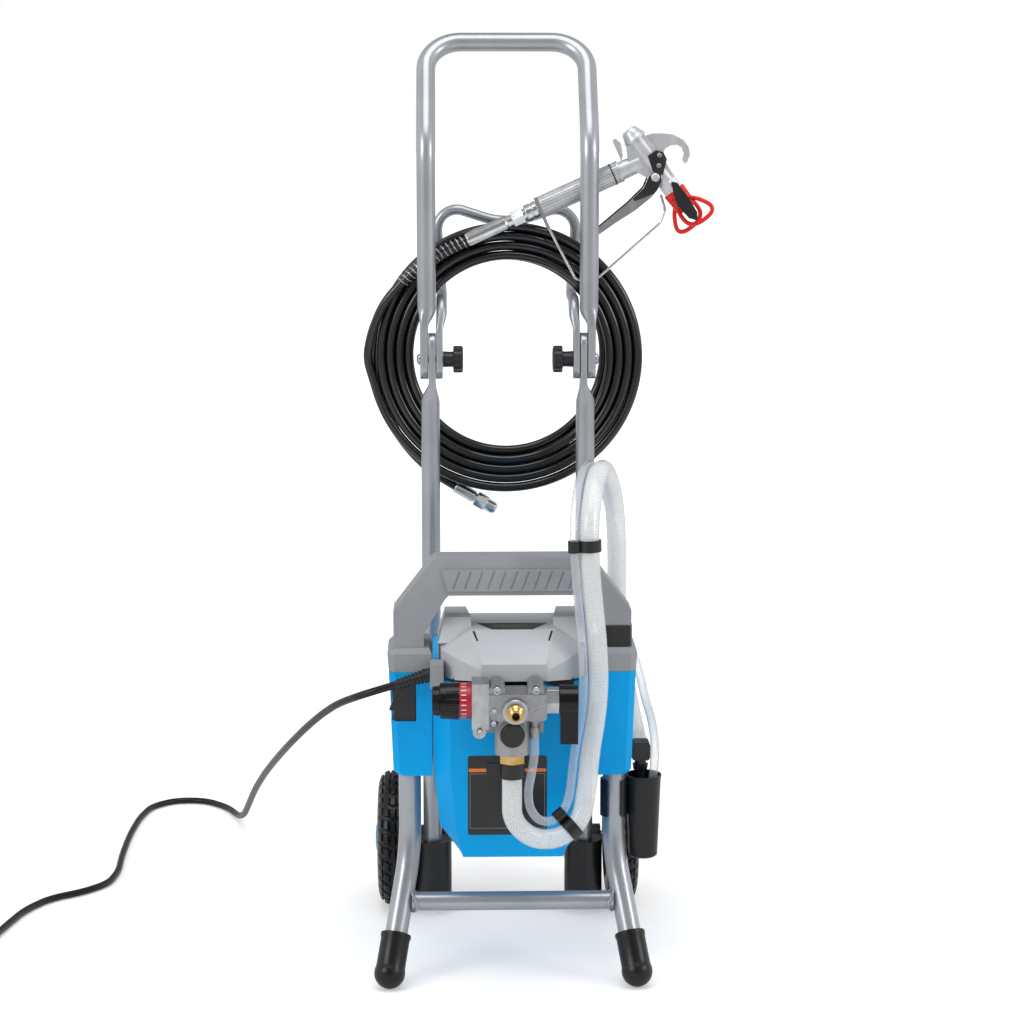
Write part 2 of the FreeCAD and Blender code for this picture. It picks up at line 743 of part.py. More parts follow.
def make_hood():
    """Faceted nose cover: a thin shell with two raised ears at the back."""
    outer = ruled(hood_sections(0.0))
    ears = []
    for side in (-1, 1):
        sections = [[(side * x, y, z) for x, y, z in
                     ((46, -22 + rise, base), (83 - rise * 0.4, -22 + rise, base),
                      (83 - rise * 0.4, hood_back_y - rise * 0.3, base), (46 + rise * 0.3, hood_back_y - rise * 0.3, base))]
                    for base, rise in ((385.0, 0.0), (ear_z, 18.0))]
        ears.append(ruled(sections))
    solid = outer.fuse(ears).removeSplitter()
    return solid.cut(ruled(hood_sections(hood_wall)))


parts["hood"] = make_hood()

# Pump on the front of the gearbox


def make_gearbox():
    """Cast gear case: a bed over the motor and a snout that carries the pump."""
    bed = box(-46.0, 46.0, shell_side_y + shell_wall + seat_gap, motor_y + 34, motor_top_z + seat_gap,
              motor_top_z + 8.0)
    wall = box(-gearbox_half_w, gearbox_half_w, shell_side_y + shell_wall + seat_gap, gearbox_back_y,
               motor_top_z + 4.0, shell_top_z - 1.0)
    snout = box(-gearbox_half_w, gearbox_half_w, pump_back_y, gearbox_back_y, gearbox_low_z + 6,
                shell_top_z - 1.0)
    bores = [rod((0, pump_back_y - 1, pump_axis_z - 12), (0, 1, 0), piston_r + run_gap, 90),
             rod((0, motor_y, motor_top_z - 1), (0, 0, 1), shaft_r + run_gap, 12),
             rod((0, gear_y, motor_top_z + 2.0), (0, 0, 1), crank_pin_r + run_gap, 10)]
    return bed.fuse([wall, snout]).removeSplitter().cut(bores)


def piston_bore():
    return rod((0, pump_back_y + 1, rod_z), (0, -1, 0), piston_r + run_gap, pump_back_y + 2 - piston_front + crank_throw)


def make_pump_block():
    """Cast pump body with bolt ears, an outlet boss and the piston's bore."""
    outline = [(pump_left_x, pump_low_z + 5), (pump_left_x + 5, pump_low_z), (pump_right_x - 3, pump_low_z),
               (pump_right_x, pump_low_z + 3), (pump_right_x, pump_top_z), (pump_left_x, pump_top_z)]
    block = prism_y(outline, pump_front_y, pump_back_y - seat_gap)
    ears = [prism_y([(x - 8.5, pump_top_z - 1), (x + 8.5, pump_top_z - 1), (x + 8.5, pump_top_z + 6),
                     (x + 4, pump_top_z + 11), (x - 4, pump_top_z + 11), (x - 8.5, pump_top_z + 6)],
                    pump_front_y + 2, pump_back_y - seat_gap) for x in (-19.5, 22.5)]
    boss = rod((0, pump_front_y + 1, outlet_z), (0, -1, 0), outlet_boss_r, 9.0)
    chin = box(-18.0, 12.0, pump_front_y + 4, pump_back_y - 8, inlet_bottom_z + 30, pump_low_z + 2)
    barb = turned((barb_x, pump_y, pump_low_z + 1), (0, 0, -1),
                  [(0, 8.5), (6, 8.5), (6, 5.0), (12, 5.0), (12, 6.2), (16, 6.2), (pump_low_z + 1 - barb_z, 5.2)])
    solid = block.fuse(ears + [boss, chin, barb]).removeSplitter()
    return solid.cut(piston_bore())


parts["gearbox"] = make_gearbox()

outlet_face_y = pump_front_y - 8.0


def make_outlet_fitting():
    """Brass hose outlet: a hex with a short male thread and a through bore."""
    nut = hexagon((0, outlet_face_y, outlet_z), (0, -1, 0), 20.0, 6.0)
    nose = rod((0, outlet_face_y - 6.0, outlet_z), (0, -1, 0), outlet_thread_r, outlet_thread_length)
    bore = rod((0, outlet_face_y - 6.0 - outlet_thread_length - 1, outlet_z), (0, 1, 0), 3.2, 16.0)
    return nut.fuse(nose).removeSplitter().cut(bore)


def make_inlet_housing():
    """Upright inlet cylinder with a boss in front for the push button and a nut below."""
    body = rod((inlet_x, pump_y, inlet_bottom_z), (0, 0, 1), inlet_r, pump_low_z - seat_gap - inlet_bottom_z)
    boss_front = pump_y - inlet_r - 4.0
    boss = rod((inlet_x, boss_front, button_z), (0, 1, 0), button_r + 2.0, inlet_r)
    pocket = rod((inlet_x, boss_front - 1, button_z), (0, 1, 0), button_r + 0.4, 8.0)
    stem = rod((inlet_x, boss_front, button_z), (0, 1, 0), 3.0 + run_gap, 22.0)
    seat = rod((inlet_x, pump_y, inlet_bottom_z - 1), (0, 0, 1), 6.0, 14.0)
    nut = hexagon((inlet_x, pump_y, inlet_bottom_z - inlet_nut_h), (0, 0, 1), inlet_nut_af, inlet_nut_h + 1)
    body = body.fuse(boss).removeSplitter().cut([pocket, stem, seat, parts["pump_block"], piston_bore()])
    return body.fuse(nut).removeSplitter()


def make_prime_button():
    """Round push button with a stem into the inlet."""
    front = pump_y - inlet_r - 4.0 - 5.5
    head = turned((inlet_x, front, button_z), (0, 1, 0),
                  [(0, button_r - 1.2), (1.2, button_r), (7.5, button_r)])
    stem = rod((inlet_x, front + 7.0, button_z), (0, 1, 0), 3.0, 14.0)
    return head.fuse(stem).removeSplitter()


parts["pump_block"] = make_pump_block()
parts["outlet_fitting"] = make_outlet_fitting()
parts["inlet_housing"] = make_inlet_housing()
parts["prime_button"] = make_prime_button()

clamp_top_z = inlet_bottom_z - inlet_nut_h - 1.0
hose_top_z = inlet_bottom_z - inlet_nut_h


def make_hose_clamp():
    """Winged band clamp that holds the suction hose on its barb."""
    r = suction_hose_d / 2
    band = rod((inlet_x, pump_y, clamp_top_z - clamp_h), (0, 0, 1), r + 2.6, clamp_h)
    wing = box(inlet_x - r - 17, inlet_x - r + 1, pump_y - 3.5, pump_y + 3.5, clamp_top_z - clamp_h, clamp_top_z)
    tail = box(inlet_x + r - 1, inlet_x + r + 3, pump_y - 3, pump_y + 3, clamp_top_z - clamp_h + 2, clamp_top_z - 2)
    bore = rod((inlet_x, pump_y, clamp_top_z - clamp_h - 1), (0, 0, 1), r + run_gap, clamp_h + 2)
    return band.fuse([wing, tail]).removeSplitter().cut(bore)


parts["hose_clamp"] = make_hose_clamp()

ring_x1 = pump_left_x - sensor_w
ring_x0 = ring_x1 - scale_ring_w
knob_in_x = ring_x0 - seat_gap


def make_sensor():
    """Pressure control body on the pump's left side, with a lug below."""
    depth = pump_front_y + 3.0
    body = box(ring_x1, pump_left_x - run_gap, depth, pump_back_y - 4, 316.0, 366.0)
    ear = rod((ring_x1 + 8, depth, 313.0), (0, 1, 0), 7.0, 12.0)
    hole = rod((ring_x1 + 8, depth - 1, 313.0), (0, 1, 0), 3.0, 14.0)
    spindle = rod((knob_in_x - 12.0, pump_y, pump_axis_z + 3), (1, 0, 0), 5.0, ring_x1 - knob_in_x + 13.0)
    return body.fuse([ear, spindle]).removeSplitter().cut(hole)


def make_scale_ring():
    ring = rod((ring_x0, pump_y, pump_axis_z + 3), (1, 0, 0), scale_ring_r, scale_ring_w - run_gap)
    return ring.cut(rod((ring_x0 - 1, pump_y, pump_axis_z + 3), (1, 0, 0), 5.0 + run_gap, scale_ring_w + 2))


def make_pressure_knob():
    """Ribbed dial with a raised pointer bar, bored for its spindle."""
    centre = (knob_in_x, pump_y, pump_axis_z + 3)
    dial = turned(centre, (-1, 0, 0), [(0, knob_r), (knob_w - 9, knob_r - 1.0), (knob_w - 8, knob_r - 4),
                                       (knob_w - 1, knob_r - 5), (knob_w, knob_r - 6)])
    cuts = []
    for k in range(18):
        angle = 2 * math.pi * k / 18
        cuts.append(rod((knob_in_x + 1, pump_y + (knob_r + 0.8) * math.cos(angle),
                         pump_axis_z + 3 + (knob_r + 0.8) * math.sin(angle)), (-1, 0, 0), 1.7, knob_w - 8.5))
    bore = rod((knob_in_x + 1, pump_y, pump_axis_z + 3), (-1, 0, 0), 5.0 + run_gap, 14.0)
    return dial.cut(cuts + [bore])


parts["pressure_sensor"] = make_sensor()
parts["scale_ring"] = make_scale_ring()
parts["pressure_knob"] = make_pressure_knob()

lever_x0 = pump_right_x + prime_collar_w + seat_gap


def make_prime_valve():
    """Drain valve body on the pump's right side, with the lever's spindle."""
    collar = hexagon((pump_right_x + run_gap, pump_y, pump_axis_z + 3), (1, 0, 0), 26.0, prime_collar_w - run_gap)
    spindle = rod((pump_right_x + 1, pump_y, pump_axis_z + 3), (1, 0, 0), 5.0, prime_collar_w + 11.0)
    return collar.fuse(spindle).removeSplitter()


def make_prime_lever():
    """Drain lever: a round hub with a flat tab, pointing down to prime."""
    z = pump_axis_z + 3
    hub = rod((lever_x0, pump_y, z), (1, 0, 0), prime_lever_r, prime_lever_w)
    tab = prism_x([(pump_y - 12, z), (pump_y + 12, z), (pump_y + 9, prime_tab_z), (pump_y - 9, prime_tab_z)],
                  lever_x0 + 1.0, lever_x0 + prime_lever_w)
    bore = rod((lever_x0 - 1, pump_y, z), (1, 0, 0), 5.0 + run_gap, 13.0)
    return hub.fuse(tab).removeSplitter().cut(bore)


parts["prime_valve"] = make_prime_valve()
parts["prime_lever"] = make_prime_lever()

# Motor, gears and piston

motor = rod((0, motor_y, motor_bottom_z), (0, 0, 1), motor_r, motor_top_z - motor_bottom_z)
parts["motor"] = motor.cut(rod((0, motor_y, 0), (0, 0, 1), shaft_r + run_gap, motor_top_z + 1))
pinion = toothed(pinion_teeth, gear_module, gear_h, 0, motor_y, gear_z, -math.pi / 2)
shaft = rod((0, motor_y, motor_bottom_z - 16), (0, 0, 1), shaft_r, gear_z + 5 - motor_bottom_z + 16)


def make_fan():
    """Cooling fan under the motor: a hub with pitched blades."""
    z = motor_bottom_z - 14
    fan = rod((0, motor_y, z), (0, 0, 1), 10.0, 11.0)
    for k in range(fan_blades):
        blade = box(8.0, fan_r, motor_y - 0.9, motor_y + 0.9, z + 0.5, z + 10.5)
        blade.rotate(V(0, motor_y, z + 5), V(1, 0, 0), 35)
        blade.rotate(V(0, motor_y, z), V(0, 0, 1), 360 * k / fan_blades)
        fan = fan.fuse(blade)
    return fan


def make_drive_gear():
    """Driven gear with its spindle below and the crank pin on top."""
    gear = toothed(gear_teeth, gear_module, gear_h, 0, gear_y, gear_z, math.pi / 2 + math.pi / gear_teeth)
    spindle = rod((0, gear_y, motor_top_z + 2.5), (0, 0, 1), crank_pin_r, gear_z - motor_top_z)
    pin = rod((crank_throw, gear_y, gear_top - 1), (0, 0, 1), crank_pin_r, 6.0)
    return gear.fuse([spindle, pin]).removeSplitter()


def make_piston():
    """Piston rod that ends in a slotted yoke just over the crank pin."""
    yoke_z = gear_top + 5.0 + seat_gap
    stem = rod((0, piston_front, rod_z), (0, 1, 0), piston_r - run_gap, gear_y - 8 - piston_front)
    slot_half = crank_pin_r + seat_gap
    yoke = box(-22.0, 22.0, gear_y - slot_half - 9, gear_y + slot_half + 6, yoke_z, yoke_z + 9.0)
    slot = box(-17.0, 17.0, gear_y - slot_half, gear_y + slot_half, yoke_z - 1, yoke_z + 10)
    return stem.fuse(yoke.cut(slot)).removeSplitter()


parts["motor_rotor"] = shaft.fuse([pinion, make_fan()]).removeSplitter()
parts["drive_gear"] = make_drive_gear()
parts["pump_piston"] = make_piston()

# Paint hose: coil, whip, spring guard and fittings


def biarc(p0, t0, p1, t1):
    """Two arcs that leave p0 along t0 and reach p1 along t1, touching each other."""
    chord = p1 - p0
    total = t0 + t1
    a = 2 * (1 - t0.dot(t1))
    b = chord.dot(total)
    reach = (math.sqrt(b * b + a * chord.dot(chord)) - b) / a
    q0 = p0 + t0 * reach
    q1 = p1 - t1 * reach
    middle = (q0 + q1) * 0.5
    return [Part.Arc(p0, arc_mid(p0, q0, middle), middle).toShape(),
            Part.Arc(middle, arc_mid(middle, q1, p1), p1).toShape()]


def along_curve(points, tangents, lead):
    """A wire of biarcs through points, with a straight lead of the given length at both ends."""
    edges = []
    if lead:
        edges.append(Part.LineSegment(points[0] - tangents[0] * lead, points[0]).toShape())
    for i in range(len(points) - 1):
        edges += biarc(points[i], tangents[i], points[i + 1], tangents[i + 1])
    if lead:
        edges.append(Part.LineSegment(points[-1], points[-1] + tangents[-1] * lead).toShape())
    return Part.Wire(edges)


def least_gap(points, spacing, diameter):
    """Least gap of a tube to itself, on points at a steady spacing along it."""
    skip = int(math.ceil(3 * diameter / spacing))
    best = 1e9
    for i in range(0, len(points)):
        for j in range(i + skip, len(points)):
            gap = points[i].distanceToPoint(points[j])
            if gap < best:
                best = gap
    return best - diameter


coil_outer_r = coil_inner_r + coil_turns_in * coil_pitch
coil_back_y = coil_front_y + coil_pitch
coil_inward = 360.0 * coil_turns_in
coil_sweep = coil_inward + 180.0 + 360.0 * coil_turns_out


def coil_radius_and_y(turned_by):
    """Spiral in on the front layer, climb in half a turn, spiral out behind."""
    if turned_by <= coil_inward:
        return coil_outer_r - coil_pitch * turned_by / 360.0, coil_front_y
    if turned_by <= coil_inward + 180.0:
        share = (turned_by - coil_inward) / 180.0
        ease = share * share * (3 - 2 * share)
        dip = 0.2 * coil_pitch * math.sin(math.pi * share)
        return coil_inner_r - dip, coil_front_y + coil_pitch * ease
    radius = coil_inner_r + coil_pitch * (turned_by - coil_inward - 180.0) / 360.0
    left = coil_sweep - turned_by
    if left < 90.0:
        radius += coil_leave_swell * ((90.0 - left) / 90.0) ** 2
    return radius, coil_back_y


def coil_point(turned_by):
    radius, y = coil_radius_and_y(turned_by)
    angle = math.radians(coil_start_angle + turned_by)
    return V(radius * math.cos(angle), y, coil_z + radius * math.sin(angle))


def coil_tangent(turned_by):
    step = 0.05
    low, high = max(0.0, turned_by - step), min(coil_sweep, turned_by + step)
    return (coil_point(high) - coil_point(low)).normalize()


coil_stations = int(round(coil_sweep / 90.0))
coil_angles = [coil_sweep * k / coil_stations for k in range(coil_stations + 1)]
coil_points = [coil_point(a) for a in coil_angles]
coil_tangents = [coil_tangent(a) for a in coil_angles]
coil_path = along_curve(coil_points, coil_tangents, paint_hose_d)
parts["paint_hose_coil"] = piped(coil_path, paint_hose_d)
coil_samples = coil_path.discretize(Distance=6.0)
print("coil length", round(coil_path.Length), "least gap", round(least_gap(coil_samples, 6.0, paint_hose_d), 2))

gun_place = FreeCAD.Placement(V(gun_x, gun_y, gun_z), FreeCAD.Rotation(V(0, 1, 0), gun_turn))
grip_axis_local = (V(grip_base[0], 0, grip_base[1]) - V(grip_top[0], 0, grip_top[1])).normalize()
grip_axis = gun_place.Rotation.multVec(grip_axis_local)
grip_end = gun_place.multVec(V(grip_base[0], 0, grip_base[1]))
base_plate_t = 4.0
swivel_nut_length = 16.0
fitting_length = 76.0
sleeve_r_hose = 8.5
whip_start = grip_end + grip_axis * (base_plate_t + swivel_nut_length + fitting_length)


def at_grip(distance):
    return tuple(grip_end + grip_axis * distance)


whip_end = coil_points[0] - coil_tangents[0] * paint_hose_d
whip_points = [tuple(whip_start), tuple(whip_start + grip_axis * 36.0), (-119.0, 225.0, 776.0),
               (-148.0, 228.0, 744.0), (-163.0, 235.0, 706.0), tuple(whip_end - coil_tangents[0] * 30.0),
               tuple(whip_end)]
parts["paint_hose_whip"] = cord("paint_hose_whip", whip_points, paint_hose_d)

swivel = turned(at_grip(base_plate_t), tuple(grip_axis),
                [(0, 9.0), (1.5, 10.0), (6, 10.0), (6.8, 9.2), (8, 9.2), (8.8, 10.0),
                 (swivel_nut_length - 1.5, 10.0), (swivel_nut_length, 9.0)])
hex_start = base_plate_t + swivel_nut_length
hex_part = hexagon(at_grip(hex_start + 3.0), tuple(grip_axis), 17.0, 14.0)
neck_part = rod(at_grip(hex_start), tuple(grip_axis), 7.0, fitting_length - 1.0)
sleeve_part = turned(at_grip(hex_start + 24.0), tuple(grip_axis),
                     [(0, 7.2), (2, sleeve_r_hose), (fitting_length - 26, sleeve_r_hose), (fitting_length - 24, 7.5)])
parts["whip_fitting"] = swivel.fuse([neck_part, hex_part, sleeve_part]).removeSplitter()

spring_r = paint_hose_d / 2 + seat_gap + spring_wire_d / 2
whip_path = bent(whip_points, cord_radii(whip_points))
spring_length = 92.0


def make_spring_guard():
    """Open spring over the whip's stiff end: a helix that follows the hose."""
    stations = 2 * spring_curls
    lead = 1.6
    frames = whip_path.discretize(Distance=0.5)
    side = V(0, 1, 0)

    def place(distance):
        i = min(len(frames) - 2, int(distance / 0.5))
        ahead = (frames[min(i + 3, len(frames) - 1)] - frames[max(i - 3, 0)]).normalize()
        across = (side - ahead * side.dot(ahead)).normalize()
        return frames[i] + (frames[i + 1] - frames[i]) * (distance / 0.5 - i), across, ahead.cross(across)

    def point(turns):
        centre, across, up = place(lead + spring_length * turns / spring_curls)
        angle = 2 * math.pi * turns
        return centre + across * (spring_r * math.cos(angle)) + up * (spring_r * math.sin(angle))

    points, tangents = [], []
    for k in range(stations + 1):
        turns = k / 2
        low, high = max(0.0, turns - 0.01), min(spring_curls, turns + 0.01)
        points.append(point(turns))
        tangents.append((point(high) - point(low)).normalize())
    path = along_curve(points, tangents, 0.0)
    samples = path.discretize(Distance=1.5)
    print("spring least gap", round(least_gap(samples, 1.5, spring_wire_d), 2))
    return piped(path, spring_wire_d)


parts["spring_guard"] = make_spring_guard()

tail_start = coil_points[-1] + coil_tangents[-1] * paint_hose_d
tail_axis = coil_tangents[-1]
tail_sleeve = turned(tuple(tail_start), tuple(tail_axis), [(0, 7.0), (1, 7.6), (26, 7.6), (27, 6.2), (30, 6.2)])
tail_hex = hexagon(tuple(tail_start + tail_axis * 29), tuple(tail_axis), 17.0, 14.0)
tail_cap = turned(tuple(tail_start + tail_axis * 43), tuple(tail_axis), [(0, 7.6), (10, 7.6), (13, 6.0), (14, 4.0)])
parts["hose_end_fitting"] = tail_sleeve.fuse([tail_hex, tail_cap]).removeSplitter()

# Gun


def gun(shape):
    shape.Placement = gun_place.multiply(shape.Placement)
    return shape


def make_gun_body():
    """Gun casting: barrel, hook, spur and the neck that holds the grip."""
    plate = prism_y([(-48, -4.6), (-47.5, 20), (-18, 22), (6, 19.5), (12, 15), (12, 1), (-3, -7.0),
                     (-14, -12), (-30, -16)], -9.0, 9.0)
    hook = prism_y([(-46, 18), (-42, 29), (-36.4, 36.5), (-27, 46.9), (-14, 53), (-4, 53), (4.8, 48.8),
                    (9.5, 41), (8.7, 37.5), (4.4, 38.2), (-1, 44.5), (-8, 46.5), (-14, 44), (-18.5, 37),
                    (-19.0, 30), (-15, 20)], -4.0, 4.0)
    barrel = rod((-48.0, 0, barrel_z), (1, 0, 0), barrel_r, 61.0)
    nose = rod((12.0, 0, barrel_z), (1, 0, 0), 9.0, 16.0)
    neck = rod((-24.0, 0, -3.0), tuple(grip_axis_local), 11.0, 25.4)
    spur = prism_y([(-44, -14), (-38, -20), (-64, -13.5), (-64, -9.5), (-56, -8)], -4.0, 4.0)
    cap = turned((-48.0, 0, barrel_z), (-1, 0, 0), [(0, 13.5), (3, 13.5), (6, 12.0), (12, 10.0), (14.6, 8.0)])
    flange = hexagon((13.0, 0, barrel_z), (1, 0, 0), 23.0, 13.0)
    half = trigger_half_w + seat_gap
    pin = rod((0, -half, 0), (0, 1, 0), trigger_pin_r, 2 * half)
    heads = [turned((0, s * half, 0), (0, s, 0), [(0, 5.0), (1.5, 5.0), (2.6, 3.4)]) for s in (-1, 1)]
    return gun(plate.fuse([hook, barrel, nose, neck, spur, cap, flange, pin] + heads).removeSplitter())


def make_grip():
    """Fluted round grip between the neck ring and the base plate."""
    start = V(grip_top[0], 0, grip_top[1])
    length = (V(grip_base[0], 0, grip_base[1]) - start).Length
    points = []
    for k in range(grip_flutes):
        for off, r in ((0.0, grip_r), (0.5, grip_r), (0.62, grip_r - 0.9), (0.88, grip_r - 0.9)):
            angle = 2 * math.pi * (k + off) / grip_flutes
            points.append((r * math.cos(angle), r * math.sin(angle), 0))
    ring = rod((0, 0, 0), (0, 0, 1), grip_r + 0.3, 3.0)
    solid = polygon(points).extrude(V(0, 0, length - run_gap)).fuse(ring).removeSplitter()
    solid.Placement = FreeCAD.Placement(start + grip_axis_local * run_gap,
                                        FreeCAD.Rotation(V(0, 0, 1), grip_axis_local))
    return gun(solid)


def make_trigger():
    """Four-finger trigger: a channel that straddles the gun at its pivot."""
    w = trigger_half_w
    outline = [(-6, 5), (2, 7.5), (8, 4), (13, -6), (16, -18), (16.5, -42), (14, -70), (12.5, -trigger_length + 2),
               (9, -trigger_length), (6.5, -trigger_length + 3), (5, -70), (4, -42), (1, -18), (-6, -6)]
    solid = prism_y(outline, -w, w)
    t = trigger_wall
    web_z = barrel_z - barrel_r - 1.0
    pocket = [(-12, 12), (20, 12), (20, web_z), (13 - 2 * t, web_z), (16 - 1.5 * t, -18.5), (16.5 - 1.5 * t, -42),
              (14 - 1.5 * t, -70), (12 - 1.5 * t, -trigger_length + 4), (-12, -trigger_length + 8)]
    solid = solid.cut(prism_y(pocket, -w + t, w - t))
    return gun(solid.cut(rod((0, -w - 1, 0), (0, 1, 0), trigger_pin_r + run_gap, 2 * w + 2)))


def make_trigger_guard():
    """Plate under the grip and the guard's wire, which runs from it to the gun's nose."""
    base = V(grip_base[0], 0, grip_base[1]) + grip_axis_local * (base_plate_t / 2)
    front = V(-grip_axis_local.z, 0, grip_axis_local.x)
    start = base + front * 24.0
    points = [tuple(start), (41.0, 0, -147.5), (53.8, 0, -125.1), (47.2, 0, -27.0), (38.0, 0, -13.0),
              (21.0, 0, barrel_z - 23.0 / math.sqrt(3) - guard_wire_r - seat_gap)]
    wire = piped(bent(points, [10.0, 12.0, 8.0, 10.0]), 2 * guard_wire_r)
    plate = box(-12.5, 28.0, -10.0, 10.0, 0.0, base_plate_t - run_gap)
    plate.Placement = FreeCAD.Placement(V(grip_base[0], 0, grip_base[1]),
                                        FreeCAD.Rotation(front, V(0, 1, 0), grip_axis_local, "ZXY"))
    return gun(wire.fuse(plate).removeSplitter())


parts["gun_body"] = make_gun_body()
parts["gun_grip"] = make_grip()
parts["gun_trigger"] = make_trigger()
parts["trigger_guard"] = make_trigger_guard()
nut_start = 13.0


def make_tip_guard():
    """Red guard: a threaded collar and two looped wings about the spray."""
    collar = rod((nut_start + 13.0 + seat_gap, 0, barrel_z), (1, 0, 0), 13.5, 8.0)
    core = prism_y([(33, -5), (33, 22), (52, 20), (54, 8.5), (52, -3)], -9.5, 9.5)
    wings = []
    for side in (-1, 1):
        outer = [(34, 2), (40, 20), (52, 31), (66, 36), (75, 33), (77.5, 22), (77, 8), (72, 9), (71, 22), (66, 28),
                 (56, 25), (48, 15), (46, 2)]
        outline = [(x, barrel_z + side * (z - 5.5)) for x, z in outer]
        wings.append(prism_y(outline, -7.0, 7.0))
    solid = core.fuse(wings + [collar]).removeSplitter()
    tunnel = rod((tip_x, -12.0, barrel_z), (0, 1, 0), 6.0 + run_gap, 24.0)
    spray = rod((48.0, 0, barrel_z), (1, 0, 0), 5.0, 40.0)
    thread = rod((nut_start, 0, barrel_z), (1, 0, 0), 9.0 + run_gap, 16.0)
    return gun(solid.cut([tunnel, spray, thread]))


def make_spray_tip():
    """Reversible tip: a cross cylinder with an arrow-shaped turning handle."""
    barrel = rod((tip_x, -20.0, barrel_z), (0, 1, 0), 6.0, 31.0)
    handle = prism_y([(tip_x - 27, barrel_z + 3), (tip_x - 22, barrel_z + 8), (tip_x, barrel_z + 8),
                      (tip_x + 20, barrel_z + 6), (tip_x + 28, barrel_z), (tip_x + 20, barrel_z - 6),
                      (tip_x, barrel_z - 8), (tip_x - 12, barrel_z - 4)], -21.0, -14.5)
    return gun(barrel.fuse(handle).removeSplitter())


parts["tip_guard"] = make_tip_guard()
parts["spray_tip"] = make_spray_tip()

# Suction hose, prime tube, strainer and drip cup

cup_x = 150.0
cup_y = 4.0
cup_bottom_z = 130.0
cup_top_z = 226.0
cup_top_r = 20.5
cup_bottom_r = 16.5
elbow_x = 147.0
elbow_y = 14.0
elbow_z = 252.0
elbow_r = 10.5

suction_points = [(inlet_x, pump_y, hose_top_z), (inlet_x, pump_y, 240), (-3, -122, 209), (19, -116, 186),
                  (50, -108, 183.5), (74, -101, 203.5), (80, -94, 238), (84, -84, 276), (91, -73, 312),
                  (94.5, -65, 350), (93, -60, 390), (89, -56, 432), (85, -55, 468), (83, -54, 528),
                  (93, -10, 573), (107, 54, 573), (121, 99, 528), (124.5, 102, 470), (125, 110, 412),
                  (129, 122, 354), (138, 128, 297), (elbow_x, 84, elbow_z), (elbow_x, elbow_y + elbow_r, elbow_z)]
parts["suction_hose"] = cord("suction_hose", suction_points, suction_hose_d)

prime_points = [(barb_x, pump_y, barb_z), (barb_x, pump_y, 284), (18.5, -122, 263), (14.5, -119, 242),
                (16, -117, 222), (26, -113, 206), (42, -108, 203), (54, -103, 213), (61, -99, 230),
                (63.5, -94, 252), (67.5, -86, 282), (74.5, -80, 314), (77.5, -74, 350), (76, -67, 390),
                (72, -62, 432), (68, -60, 478), (66, -58, 528), (75.5, -12, 575.5), (91.5, 58.5, 579),
                (113, 115.5, 531.5), (123, 122, 478), (124, 128, 424), (131.5, 139, 372.5), (152, 130.5, 323.5),
                (158, 92, 292), (163, 54, 276), (164.5, 26, 257), (163, 10, 236), (159.5, 6, 206)]
parts["prime_tube"] = cord("prime_tube", prime_points, prime_tube_d)
suction_path = bent(suction_points, cord_radii(suction_points))
prime_path = bent(prime_points, cord_radii(prime_points))


def make_elbow():
    """Black elbow on the hose's end, with the strainer's stem below it."""
    block = box(elbow_x - elbow_r, elbow_x + elbow_r, elbow_y - elbow_r, elbow_y + elbow_r,
                elbow_z - elbow_r, elbow_z + elbow_r)
    block = block.makeFillet(4.0, [e for e in block.Edges if abs(e.tangentAt(e.FirstParameter).y) > 0.9])
    stem = turned((elbow_x, elbow_y, elbow_z - elbow_r + 1), (0, 0, -1),
                  [(0, 6.5), (7, 6.5), (7, 9.0), (13, 8.0), (15, 6.0), (45, 6.0), (47, 5.0)])
    return block.fuse(stem).removeSplitter()


parts["inlet_strainer"] = make_elbow()


def make_cup():
    """Tapered drip cup, open at the top."""
    height = cup_top_z - cup_bottom_z
    outer = turned((cup_x, cup_y, cup_bottom_z), (0, 0, 1),
                   [(0, cup_bottom_r - 2), (2, cup_bottom_r), (height - 3, cup_top_r - 0.6), (height - 3, cup_top_r),
                    (height, cup_top_r)])
    inner = turned((cup_x, cup_y, cup_bottom_z + 2.5), (0, 0, 1),
                   [(0, cup_bottom_r - 2.2), (height, cup_top_r - 2.0)])
    return outer.cut(inner)


def make_cup_clip():
    """Open clip that snaps round the right leg and carries the cup."""
    z0, z1 = 180.0, 222.0
    outer = rod((leg_x, leg_y, z0), (0, 0, 1), r_leg + 3.0, z1 - z0)
    mouth = prism_y([(leg_x - 8, z0 - 1), (leg_x + 8, z0 - 1), (leg_x + 8, z1 + 1), (leg_x - 8, z1 + 1)], -40.0, leg_y)
    bridge = box(leg_x + r_leg + 1, cup_x - 8, cup_y - 5, cup_y + 5, z0, z1)
    cup_outer = turned((cup_x, cup_y, cup_bottom_z), (0, 0, 1),
                       [(0, cup_bottom_r + seat_gap), (cup_top_z - cup_bottom_z, cup_top_r - 0.6 + seat_gap)])
    bore = rod((leg_x, leg_y, z0 - 1), (0, 0, 1), r_leg + run_gap, z1 - z0 + 2)
    clip = outer.cut(mouth).fuse(bridge).removeSplitter().cut([bore, cup_outer])
    return max(clip.Solids, key=lambda s: s.Volume)


parts["drip_cup"] = make_cup()
parts["cup_clip"] = make_cup_clip()


